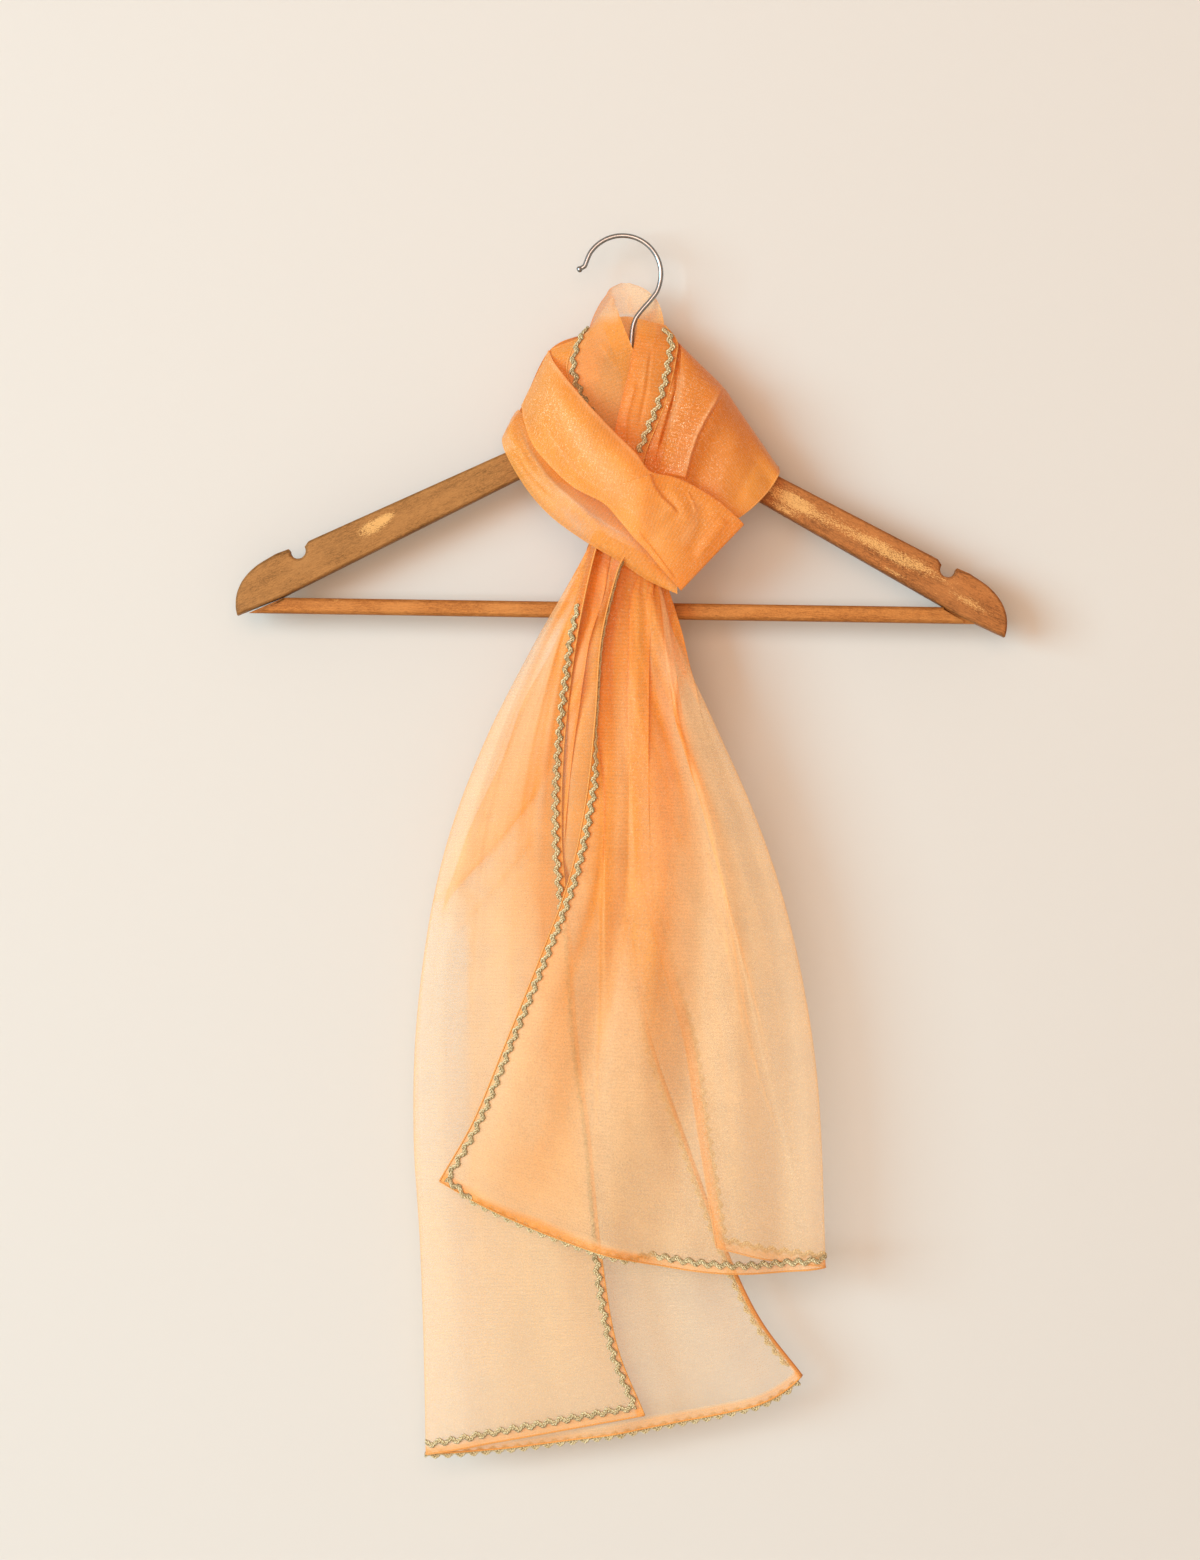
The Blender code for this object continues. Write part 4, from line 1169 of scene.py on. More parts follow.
# Lines on the tails' front layers given a painted highlight: a paler colour and more flakes.
REAR_PAINTED_HIGHLIGHTS = [
    ([(-48.0, -245.0), (-76.0, -315.0), (-92.0, -380.0)], 4.0, 0.30),
    ([(-70.0, -300.0), (-84.0, -400.0), (-88.0, -520.0)], 7.0, 0.25),
    ([(-48.0, -560.0), (-52.0, -620.0), (-46.0, -680.0)], 10.0, 0.25),
]
FRONT_PAINTED_HIGHLIGHTS = [
    ([(20.8, -205.0), (26.6, -242.0), (44.8, -291.6), (64.0, -345.0), (78.0, -405.0), (88.0, -474.0), (99.0, -550.0)], 4.5, 0.6),
    ([(60.0, -350.0), (74.0, -405.0), (84.0, -470.0), (101.5, -556.0)], 0.9, 0.9),
    ([(1.0, -240.0), (0.5, -330.0), (-2.0, -444.0), (-12.0, -510.0), (-14.0, -560.0)], 4.5, 0.45),
    ([(-46.0, -430.0), (-45.0, -480.0), (-52.0, -530.0)], 7.0, 0.45),
    ([(50.0, -500.0), (62.0, -540.0), (72.0, -580.0)], 6.0, 0.3),
]


def runs_between(corners, count, few, many, soft):
    """Rows of points through each row's corners (levels x corners x 2): straight
    runs with close points at their ends, then the corners rounded, more by soft."""
    ease = 0.5 - 0.5 * np.cos(math.pi * np.arange(count) / count)
    parts = [
        corners[:, k, None, :] * (1 - ease)[None, :, None] + corners[:, k + 1, None, :] * ease[None, :, None]
        for k in range(corners.shape[1] - 1)
    ]
    rows = np.concatenate([*parts, corners[:, -1:, :]], axis=1)

    def rounded(values, passes):
        values = values.copy()
        for _ in range(passes):
            values[:, 1:-1] = (values[:, :-2] + 2 * values[:, 1:-1] + values[:, 2:]) / 4
        return values

    near, far = rounded(rows, few), rounded(rows, many)
    return near * (1 - soft[:, None, None]) + far * soft[:, None, None]


def tail_layer(levels, which, layer, pleats, sag, count, v, depth_scale=1.0):
    """One layer of a tail, from its free edge to the fold."""
    ex, ez = (levels[:, 0], levels[:, 1]) if layer == 0 else (levels[:, 4], levels[:, 5])
    fx, fz, front, back = levels[:, 2], levels[:, 3], levels[:, 6], levels[:, 7]
    level = (ez + fz) / 2
    start, end = (ex, fx) if layer == 0 else (fx, ex)
    way = np.sign(end - start)
    corners = [np.stack([start, np.zeros_like(start)], 1)]
    strength = []
    for deep, rows in pleats:
        rows = sorted(rows)
        at = np.array([r[0] for r in rows], float)
        turn = np.interp(level, at, [r[1] for r in rows])
        again = np.interp(level, at, [r[2] for r in rows])
        kernel = np.hanning(15)
        kernel /= kernel.sum()
        turn = np.convolve(np.pad(turn, 7, mode="edge"), kernel, "valid")
        again = np.convolve(np.pad(again, 7, mode="edge"), kernel, "valid")
        over = (turn - again) * way
        flat = np.where(over > 0, 1.0, 0.75)
        corners.append(np.stack([turn, -deep * flat * depth_scale], 1))
        corners.append(np.stack([again, deep * flat * depth_scale], 1))
        strength.append(smooth01(over / 3.0 + 0.25))
    corners.append(np.stack([end, np.zeros_like(end)], 1))
    corners = np.stack(corners, axis=1)
    soft = smooth01((v - 0.25) / 0.5)
    rows = runs_between(corners, count, 10, 70, soft)
    x, shift = rows[..., 0], rows[..., 1]
    t = np.clip((x - ex[:, None]) / (fx - ex)[:, None], 0, 1)
    z = ez[:, None] + (fz - ez)[:, None] * t - sag * 4 * t * (1 - t) * v[:, None] ** 6
    if which == 0 and layer == 1:
        near_end = np.minimum(t / 0.12, 8.0)
        z = z - 7.0 * near_end * np.exp(1 - near_end) * v[:, None] ** 6
    middle = (front + back) / 2
    base = front if layer == 0 else back
    gap = np.abs(front - back)[:, None] * 1.6 + 1e-6
    near = 1 - (1 - np.minimum(1.0, np.abs(fx[:, None] - x) / gap)) ** 2
    near = np.sqrt(np.maximum(near, 0.0))
    y = middle[:, None] + (base - middle)[:, None] * near + shift * (0.35 + 0.65 * near)
    if which == 0 and layer == 1:
        # between the two braided edges it comes forward, level with the first
        other = np.array(FRONT_TAIL)
        until = np.interp(-level, -other[:, 1], other[:, 0])
        low, high = levels[:, 0], until + 6.0
        wide = np.maximum((high - low) / 2 + 2.0, 1.0)[:, None]
        inside = np.exp(-(((x - ((low + high) / 2)[:, None]) / wide) ** 4))
        y -= 10.0 * inside * smooth01((until - low) / 6.0)[:, None]
    grid = np.stack([x, y, z], axis=-1)
    run = arc(grid, 1)
    if layer == 0:
        # near the knot the braided edge is turned forward, nearly edge-on
        until = (0.075, 0.25)[which]
        a = math.radians((52, 78)[which]) * (1 - smooth01((v - until) / (0.05 + 0.35 * until)))[:, None]
        strip = np.minimum(run, 9.0)
        grid[..., 0] -= way[:, None] * strip * (1 - np.cos(a)) * np.exp(-np.maximum(run - 9.0, 0) / 9.0)
        grid[..., 1] -= np.sin(a) * (9.0 - strip)
        run = arc(grid, 1)
    layers = np.ones_like(run)
    share = run / run[:, -1:]
    if layer:
        share = 1 - share
    width = np.abs(fx - ex)[:, None]
    for at, size, rise, first, last in FOLDS[which][layer]:
        at = at + 0.015 * np.sin(5 * v + 20 * at)[:, None]
        window = (smooth01((v - first) / 0.12 + 0.5) * smooth01((last - v) / 0.25 + 0.5))[:, None]
        hump = np.exp(-(((share - at) / size) ** 2))
        grid[..., 1] -= rise * (width / 110.0) * window * hump
    rng = np.random.default_rng(40 + 2 * which + layer)
    for _ in range(26):
        at, size, weight = rng.uniform(0.02, 0.98), rng.uniform(0.7, 2.2), rng.uniform(0.25, 1.0)
        last, sway, phase = rng.uniform(0.18, 0.95), rng.uniform(0.0, 0.02), rng.uniform(0, 6.28)
        away = (share - at - sway * np.sin(6 * v + phase)[:, None]) * width
        window = (smooth01((last - v) / 0.2 + 0.5) * (1 - 0.75 * v))[:, None]
        line = np.exp(-((away / (size * (0.8 + v[:, None]))) ** 2)) * window * weight
        layers += (0.8, 0.45)[which == 0 and layer == 0] * line
        grid[..., 1] -= 0.5 * line * rng.choice([-1, 1])
    for k, s in enumerate(strength):
        for j in (1 + 2 * k, 2 + 2 * k):
            at = run[:, j * count]
            layers += s[:, None] * 1.3 * np.exp(-(((run - at[:, None]) / 0.75) ** 2))
    return grid, layers


def tail_grid(table, which, sags, pleats, along, counts, flat_width):
    levels = curve_through(table, along)
    drop = (levels[:, 1] + levels[:, 3]) / 2
    v = (drop[0] - drop) / (drop[0] - drop[-1])
    first, dense_first = tail_layer(levels, which, 0, pleats[0], sags[0], counts[0], v)
    last, dense_last = tail_layer(levels, which, 1, pleats[1], sags[1], counts[1], v)
    grid = np.concatenate([first[:, :-1], last], axis=1)
    layers = np.concatenate([dense_first[:, :-1], dense_last], axis=1)
    fold = first.shape[1] - 1
    # the fold's turn is rounded a little
    for _ in range(6):
        part = grid[:, fold - 5 : fold + 6]
        part[:, 1:-1] = (part[:, :-2] + 2 * part[:, 1:-1] + part[:, 2:]) / 4
        grid[:, fold - 5 : fold + 6] = part
    run = arc(grid, 1)
    layers += 1.6 * np.exp(-(((run - run[:, fold : fold + 1]) / 1.5) ** 2))
    # what the modelled pleats don't take up lies in finer ones
    gather = np.clip(flat_width / run[:, -1], 1.0, 7.0)
    gather *= 1 + 1.0 * np.exp(-v / 0.08) + 0.6 * np.exp(-v / 0.30)
    turn = run[:, fold : fold + 1]
    loose = np.where(run < turn, run / turn, (run[:, -1:] - run) / (run[:, -1:] - turn))
    share = (1.5, 2.1)[which] * (1 - smooth01(loose * 1.05 - 0.05))
    share = share * (1 - np.exp(-v / 0.025))[:, None] + np.exp(-v / 0.025)[:, None]
    layers *= 1 + (gather[:, None] - 1) * share
    for tail, layer, x, z, wide, high, more in CLOSER:
        if tail != which:
            continue
        near = np.exp(-((((grid[..., 0] - x) / wide) ** 2) + ((grid[..., 2] - z) / high) ** 2))
        far_side = smooth01((np.arange(grid.shape[1]) - fold) / 8 + 0.5)
        layers += more * near * (far_side if layer else 1 - far_side)
    if which == 1:
        # between the two tails' back edges the front layer is bunched
        rear = np.array(REAR_TAIL)
        left = np.interp(-grid[..., 2], -rear[:, 1], rear[:, 4])
        right = np.interp(-grid[..., 2], -levels[:, 5], levels[:, 4])
        between = smooth01((grid[..., 0] - left) / 4 + 0.5) * smooth01((right - grid[..., 0]) / 4 + 0.5)
        layers += 1.1 * between * (np.arange(grid.shape[1]) < fold)
    if which == 0:
        # low down, the back layer's own fold lies inside the front layer's
        own = off_line(grid, [(-87.0, -385.0), (-86.0, -450.0), (-84.0, -520.0), (-90.0, -575.0)])
        window = smooth01(own[1] / 0.1) * smooth01((1 - own[1]) / 0.3)
        behind = np.arange(grid.shape[1]) > fold + 4
        layers -= behind * window * (layers - 0.35) * smooth01(-own[0] / 3 + 0.5) * (grid[..., 0] < -70)
        layers += behind * window * 0.7 * np.exp(-((own[0] / 1.6) ** 2))
    # hems: turned twice along both sides and the end
    total = run[:, -1:]
    side = (2.6, 2.4)[which]
    layers += 3.0 * (1 - smooth01((run - side) / 0.8))
    layers += (6.0, 2.6)[which] * (1 - smooth01((total - run - (1.0, HEM)[which]) / 0.7))
    layers += (0.6, 2.4)[which] * np.exp(-(((total - run - 1.2) / 1.2) ** 2))
    down = arc(grid, 0)
    foot = down[-1:] - down
    layers += 2.6 * (1 - smooth01((foot - (4.4, 3.4)[which]) / 0.8))
    if which == 1:
        # the hem's left part is turned up over the braid
        turned = smooth01((24.0 - grid[..., 0]) / 14) * (np.arange(grid.shape[1]) < fold)
        layers += 1.2 * turned * (1 - smooth01((foot - HEM) / 0.8))
        layers += 1.6 * turned * np.exp(-(((foot - HEM - 0.4) / 0.7) ** 2))
    return grid, layers, fold


# ---------------------------------------------------------------------- edgings


def sampled(values, at):
    low = np.minimum(at.astype(int), len(values) - 2)
    t = (at - low)[:, None]
    return values[low] * (1 - t) + values[low + 1] * t


def beside_edge(grid, edge, face_y, inset, start, end, step, span=None):
    """Evenly spaced places beside one edge of a grid: the points inset from the
    edge, the unit direction inward and the unit normal on the chosen face."""
    n = normals_of(grid)
    if edge == "hem":
        cols = slice(*span)
        lines, normals = grid[::-1, cols], n[::-1, cols]
    else:
        turn = 1 if edge == "first" else -1
        lines = np.swapaxes(grid[:, ::turn], 0, 1)
        normals = np.swapaxes(n[:, ::turn], 0, 1)
    reach = min(len(lines), 70)
    lines, normals = lines[:reach], normals[:reach]
    edge_line = lines[0]
    run = np.concatenate([[0], np.cumsum(np.linalg.norm(np.diff(edge_line, axis=0), axis=1))])
    want = np.arange(start, run[-1] - end, step)
    at = np.interp(want, run, np.arange(len(run)))
    lines = np.stack([sampled(line, at) for line in lines])
    normals = np.stack([sampled(normal, at) for normal in normals])
    far = np.concatenate([np.zeros((1, len(at))), np.cumsum(np.linalg.norm(np.diff(lines, axis=0), axis=2), axis=0)])
    inset = inset(want) if callable(inset) else np.minimum(inset, far[-1] * 0.5)
    places = np.zeros((len(at), 3))
    inner = np.zeros((len(at), 3))
    normal = np.zeros((len(at), 3))
    for i in range(len(at)):
        for axis in range(3):
            places[i, axis] = np.interp(inset[i], far[:, i], lines[:, i, axis])
            inner[i, axis] = np.interp(inset[i] + 1.5, far[:, i], lines[:, i, axis])
            normal[i, axis] = np.interp(inset[i], far[:, i], normals[:, i, axis])
    normal /= np.maximum(np.linalg.norm(normal, axis=1, keepdims=True), 1e-9)
    normal *= np.sign(normal[:, 1].mean()) * face_y
    inward = inner - places
    inward /= np.maximum(np.linalg.norm(inward, axis=1, keepdims=True), 1e-9)
    places += inward * np.minimum(inset, 0.0)[:, None]
    return places, inward, normal


def smoothed(values, passes):
    values = values.copy()
    for _ in range(passes):
        values[1:-1] = (values[:-2] + 2 * values[1:-1] + values[2:]) / 4
    return values


def ric_rac(name, grid, edge, face_y, start, end, material, node, span=None, seed=0.0, lift=0.95, inset=None, turned=(), far=(), pressed=None):
    """A narrow waved braid of three plaited yarns beside an edge. It is turned
    edge-on between the levels in turned, changes faces at each x in far, and is
    pressed flat above the level pressed."""
    step = 0.5
    inset = HEM - 1.2 + TRIM_WIDTH / 2 if inset is None else inset
    places, inward, normal = beside_edge(grid, edge, face_y, inset, start, end, step, span)
    places, inward, normal = smoothed(places, 8), smoothed(inward, 20), smoothed(normal, 20)
    for x in far:
        normal = normal * np.tanh((places[:, 0] - x) / 2.0)[:, None]
    for high, low, angle in turned:
        z = places[:, 2]
        a = math.radians(angle) * smooth01((high - z) / 25 + 0.5) * smooth01((z - low) / 25 + 0.5)
        inward, normal = (
            inward * np.cos(a)[:, None] + normal * np.sin(a)[:, None],
            normal * np.cos(a)[:, None] - inward * np.sin(a)[:, None],
        )
    s = np.arange(len(places)) * step
    rng = np.random.default_rng(int(seed * 10) + 7)
    drift = np.cumsum(rng.normal(0, 0.035, len(s)))
    wave = 7.2
    sway = 1.05 * np.sin(2 * math.pi * s / wave + drift)
    parts = []
    for j in range(3):
        turn = 2 * math.pi * s / 4.8 + 2 * math.pi * j / 3 + drift
        aside = sway + 1.12 * np.sin(turn)
        up = lift + 0.50 * np.sin(2 * turn)
        if pressed is not None:
            up *= 0.3 + 0.7 * smooth01((pressed - places[:, 2]) / 25)
        line = places + inward * aside[:, None] + normal * up[:, None]
        parts.append(tube_parts(line, 0.62, 6, seed + j * 3.1))
    obj = joined(name, parts, material)
    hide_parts(node)
    return obj


def rolled_edge(name, lines, radius, material, seed=0.0):
    parts = []
    for k, line in enumerate(lines):
        size = radius[k] if np.ndim(radius) else radius
        parts.append(tube_parts(smoothed(np.asarray(line, float), 2), size, 6, seed + k))
    return joined(name, parts, material)


# ------------------------------------------------------------------------- build


def build_stole():
    net = net_material("net_sheer")
    hem = hem_material("net_hem", (0.54, 0.19, 0.026), (0.86, 0.43, 0.10))
    turned_hem = hem_material("net_hem_turned", (0.40, 0.13, 0.02), (0.68, 0.26, 0.045))
    gold = braid_material("gold_braid")
    made = {}

    def keep(name, grid, layers, seed, replaces, painted_highlight=None):
        obj = sheet(name, grid, layers, net, seed, replaces, painted_highlight=painted_highlight)
        made[name] = (obj, area_of(grid) * 1e-6)
        return obj

    # collar behind the hook
    grid = collar_grid(90, 90)
    layers = np.full(grid.shape[:2], 2.6)
    left_part = smooth01((-2.6 - 0.25 * (grid[..., 2] + 38) - grid[..., 0]) / 2.5 + 0.5)
    layers += 1.2 * left_part
    layers += 2.5 * smooth01((-46 - grid[..., 2]) / 10)
    layers += 1.8 * smooth01((grid[..., 0] - 9.0) / 4) * smooth01((-37 - grid[..., 2]) / 8)
    layers -= 1.6 * np.exp(-(((grid[..., 0] - 3.5) / 7.0) ** 4)) * smooth01((-41.5 - grid[..., 2]) / 2.0)
    crease(grid, layers, [(5.2, -31.0), (4.0, -37.0), (6.0, -44.0)], 1.0, 0.5, 3.0, 0.7)
    crease(grid, layers, [(-4.2, -32.0), (-4.0, -40.0), (0.0, -50.0)], 1.6, 0.6, 0.0, 0.6)
    edge = arc(grid, 1)
    layers += 1.0 * np.exp(-((np.minimum(edge, edge[:, -1:] - edge) / 1.4) ** 2))
    keep("collar_back", grid, layers, 11.0, ["stole_collar_back"])

    # lapels
    grid = lapel_grid(LAPEL_LEFT, 0.6, 120, 90)
    layers = np.full(grid.shape[:2], 4.4)
    wedge = np.array([(-9.8, -52.6), (-4.0, -66.0), (1.2, -81.5)])
    inside = grid[..., 0] - np.interp(-grid[..., 2], -wedge[:, 1], wedge[:, 0])
    layers -= 3.6 * smooth01((grid[..., 2] + 50) / 10)
    layers += 1.5 * smooth01(inside / 1.0 + 0.5) * smooth01((grid[..., 2] + 92) / 10) * smooth01((-49 - grid[..., 2]) / 3)
    crease(grid, layers, [(-12.0, -62.0), (-6.5, -71.0), (-2.5, -76.0), (2.5, -80.0)], 1.2, 0.5, 5.0, 0.9)
    run = arc(grid, 1)
    layers += 2.6 * np.exp(-(((run[:, -1:] - run) / 1.0) ** 2)) * smooth01((-38 - grid[..., 2]) / 6)
    lapel_left = grid
    keep("lapel_left", grid, layers, 12.0, ["stole_lapel_left"])

    grid = lapel_grid(LAPEL_RIGHT, 0.8, 120, 90)
    # the high count also takes the colour past eight layers into the darker stop: painted shade in the valley between
    # the lapels
    layers = np.full(grid.shape[:2], 12.4)
    layers -= 1.6 * np.exp(-(((grid[..., 0] - 13) / 7) ** 2)) * smooth01((grid[..., 2] + 110) / 20)
    layers -= 5.2 * smooth01((grid[..., 2] + 60) / 12)
    layers += 2.2 * np.exp(-((((grid[..., 0] - 13.0) / 5.0) ** 2) + ((grid[..., 2] + 66) / 9.0) ** 2))
    crease(grid, layers, [(20.6, -46.0), (20.0, -58.0), (15.6, -71.0), (13.4, -84.0), (11.0, -98.0)], 1.0, 0.5, 6.0, 1.2)
    crease(grid, layers, [(18.2, -62.0), (15.0, -90.0), (9.5, -116.0)], 1.2, -0.5, 0.0, 0.3)
    crease(grid, layers, [(9.0, -84.0), (4.0, -104.0), (2.0, -125.0)], 1.4, 0.6, 0.0, 0.5)
    run = arc(grid, 1)
    layers += 2.6 * np.exp(-(((run[:, -1:] - run) / 1.0) ** 2))
    lapel_right = grid
    keep("lapel_right", grid, layers, 13.0, ["stole_lapel_right"])

    # shoulders
    grid = lapel_grid(SHOULDER_LEFT, 0.4, 60, 50)
    layers = np.full(grid.shape[:2], 7.0)
    crease(grid, layers, [(-30.0, -68.0), (-27.0, -74.0), (-22.0, -84.0)], 1.2, 0.6, 3.0, 0.8)
    keep("shoulder_left", grid, layers, 14.0, ["stole_shoulder_left"])

    grid = shoulder_right_grid(150, 190)
    # so many layers take the colour into the darker stop: painted shade on this shaded part
    layers = np.full(grid.shape[:2], 13.6)
    corner = np.exp(-((((grid[..., 0] - 84) / 16) ** 2) + ((grid[..., 2] + 143) / 16) ** 2))
    layers -= 6.6 * np.clip(corner, 0, 1)
    layers -= 3.0 * np.exp(-((((grid[..., 0] - 66) / 12) ** 2) + ((grid[..., 2] + 158) / 7) ** 2))
    # its nearer part lies in front of the rest along one long edge
    crease(grid, layers, [(37.6, -142.0), (40.8, -128.0), (44.5, -117.0), (49.0, -108.0), (55.5, -97.0), (59.6, -88.6)], 0.55, 3.0, 9.0, 1.8, (0.03, 0.01))
    crease(grid, layers, [(30.4, -66.0), (33.5, -76.0), (32.5, -90.0), (27.5, -108.0), (23.0, -124.0)], 1.5, -1.8, 0.0, 0.3, (0.03, 0.1))
    crease(grid, layers, [(19.0, -134.0), (23.5, -116.0), (28.5, -99.0), (33.0, -86.0)], 0.55, 1.4, 4.0, 1.6)
    crease(grid, layers, [(28.0, -140.0), (34.0, -118.0), (40.0, -100.0), (44.0, -86.0)], 2.6, 0.8, 0.0, 0.0)
    crease(grid, layers, [(70.0, -112.0), (62.0, -132.0), (55.0, -150.0)], 5.0, 0.9, 0.0, 0.0)
    crease(grid, layers, [(79.0, -128.0), (72.0, -142.0), (64.0, -156.0)], 3.5, -0.7, 0.0, 0.0)
    run = arc(grid, 1)
    layers += 1.0 * np.exp(-(((run[:, -1:] - run) / 1.5) ** 2))
    shoulder = grid
    # painted highlight beside the overlap's near edge and along one crease
    near_edge = [(40.0, -140.0), (43.0, -127.0), (46.6, -116.0), (51.0, -107.0), (57.0, -96.4), (60.6, -89.0)]
    painted_highlight = mask_along_lines(grid, [([(x - 3.0, z) for x, z in near_edge], 1.2, 0.35), ([(36.0, -78.0), (33.0, -96.0), (27.0, -116.0)], 2.0, 0.25)])
    keep("shoulder_right", grid, layers, 15.0, ["stole_shoulder_right"], painted_highlight)

    # behind the neck
    grid = loft(BACK_WRAP, 170, 110)
    layers = np.full(grid.shape[:2], 9.0)
    behind = smooth01((23 - np.abs(grid[..., 0] - 5)) / 6) * smooth01((grid[..., 2] + 112) / 8)
    pocket = np.exp(-(((grid[..., 0] - 3.5) / 5.0) ** 4)) * smooth01((grid[..., 2] + 68) / 6)
    upper = smooth01((grid[..., 2] + 70) / 8)
    layers -= (3.0 + 4.4 * upper) * behind * (1 - pocket)
    # the hollow between the lapels gets five more layers: denser behind the V, and past eight layers its colour darkens
    # as painted shade in the hollow
    layers += 5.0 * behind * pocket
    for k, t in enumerate((0.14, 0.27, 0.43, 0.60, 0.78, 0.90)):
        s = np.linspace(0, 1, 170)[:, None]
        c = np.linspace(0, 1, 110)[None, :]
        at = t + 0.05 * np.sin(3.0 * s + k) + 0.02 * np.sin(9 * s + 2 * k)
        bend = np.exp(-(((c - at) / (0.018 + 0.006 * (k % 3))) ** 2)) * (0.55 + 0.45 * np.sin(5 * s + k * 1.7))
        grid[..., 1] += (0.9 + 0.35 * (k % 2)) * bend * smooth01(s / 0.12) * smooth01((1 - s) / 0.12)
        layers += 1.2 * bend * (1 - behind)
    keep("back_wrap", grid, layers, 16.0, ["stole_back_wrap"])

    # the band and the knot's fold, in one sweep
    grid = band_grid(BAND + KNOT_FOLD[1:], 330, 150)
    layers = 8.2 + 3.4 * smooth01((grid[..., 0] - 18) / 20)
    low = off_line(grid, [(-55.0, -104.0), (-46.0, -122.0), (-27.0, -143.0), (-8.0, -154.0), (2.0, -165.0)])
    layers = layers - 1.8 * np.exp(-((low[0] / 9.0) ** 2)) * smooth01((14 - grid[..., 0]) / 10)
    crease(grid, layers, [(-30.0, -90.0), (-10.0, -118.0), (8.0, -138.0), (20.0, -152.0)], 8.0, 1.4, 0.0, 0.0, (0.3, 0.3))
    crease(grid, layers, [(-42.0, -84.0), (-34.0, -106.0), (-22.0, -128.0), (-6.0, -146.0)], 4.5, -1.0, 0.0, 0.0, (0.3, 0.4))
    crease(grid, layers, [(-50.0, -96.0), (-42.0, -114.0), (-28.0, -136.0), (-10.0, -152.0), (2.0, -166.0)], 3.0, 0.9, 0.0, 0.0, (0.2, 0.2))
    # where the band passes in front of the fold's upper part
    crease(grid, layers, [(34.0, -163.0), (29.4, -157.6), (24.4, -153.2), (19.6, -146.6), (17.2, -139.6)], 0.55, 2.6, 11.0, 2.0, (0.25, 0.01))
    crease(grid, layers, [(38.0, -149.0), (41.0, -155.0), (43.5, -162.0)], 0.9, 0.5, 0.0, 0.9)
    crease(grid, layers, [(27.0, -145.0), (35.0, -156.0), (40.0, -170.0)], 4.0, 1.2, 0.0, 0.0)
    crease(grid, layers, [(48.0, -154.0), (46.0, -170.0), (38.0, -188.0)], 4.0, -1.0, 0.0, 0.0)
    crease(grid, layers, [(60.0, -164.0), (52.0, -176.0), (42.0, -190.0)], 3.0, 0.9, 0.0, 0.0)
    crease(grid, layers, [(8.4, -171.0), (16.0, -180.0), (23.5, -189.5), (31.0, -199.5)], 0.8, 0.7, 0.0, 1.2, (0.1, 0.1))
    run = arc(grid, 1)
    layers += 1.3 * np.exp(-((run / 1.6) ** 2))
    layers += 1.6 * np.exp(-(((run[:, -1:] - run) / 1.6) ** 2))
    # painted highlight along the band's rim, its puffed middle and the knot's fold
    rim = [(-41.6, -66.0), (-38.6, -74.0), (-32.6, -83.0), (-17.3, -102.0), (-1.9, -118.4), (8.9, -129.4), (16.8, -139.6)]
    puffed = [(-44.0, -84.0), (-36.0, -104.0), (-22.0, -124.0), (-6.0, -142.0), (8.0, -157.0)]
    painted_highlight = mask_along_lines(grid, [(rim, 1.2, 0.4), (puffed, 6.0, 0.2), ([(44.0, -152.0), (42.0, -166.0), (34.0, -182.0)], 3.0, 0.2)])
    keep("front_band", grid, layers, 17.0, ["stole_front_band", "stole_knot_fold"], painted_highlight)

    grid = roll_grid(200, 110)
    layers = np.full(grid.shape[:2], 6.4)
    crease(grid, layers, [(-38.0, -154.0), (-31.0, -161.0), (-25.0, -168.0), (-17.0, -176.0)], 3.2, 0.0, 0.0, -1.6, (0.35, 0.35))
    crease(grid, layers, [(-30.5, -159.5), (-24.0, -161.5), (-18.0, -167.0), (-8.0, -176.0)], 0.9, 0.5, 3.0, 0.9)
    crease(grid, layers, [(-61.0, -108.0), (-54.0, -122.0), (-42.0, -140.0), (-26.0, -156.0), (-8.0, -171.0)], 2.2, 1.2, 0.0, 0.0, (0.2, 0.2))
    crease(grid, layers, [(-63.0, -120.0), (-52.0, -138.0), (-36.0, -154.0)], 1.8, -0.8, 0.0, 0.0)
    run = arc(grid, 1)
    layers += 1.2 * np.exp(-(((run[:, -1:] - run) / 1.5) ** 2))
    # painted highlight along the roll's crest; the crest is also thinned below, which makes it more see-through and
    # paler in colour, partly as painted highlight
    crest = [(-60.0, -104.0), (-52.0, -124.0), (-43.0, -138.5), (-34.4, -148.0), (-26.0, -154.8), (-17.8, -161.1), (-7.0, -168.5), (3.8, -174.8), (14.0, -184.0)]
    painted_highlight = mask_along_lines(grid, [(crest, 1.2, 0.55), (crest, 4.0, 0.2)])
    layers -= 1.6 * mask_along_lines(grid, [(crest, 1.3, 1.0)])
    keep("band_roll", grid, layers, 18.0, ["stole_band_roll"], painted_highlight)

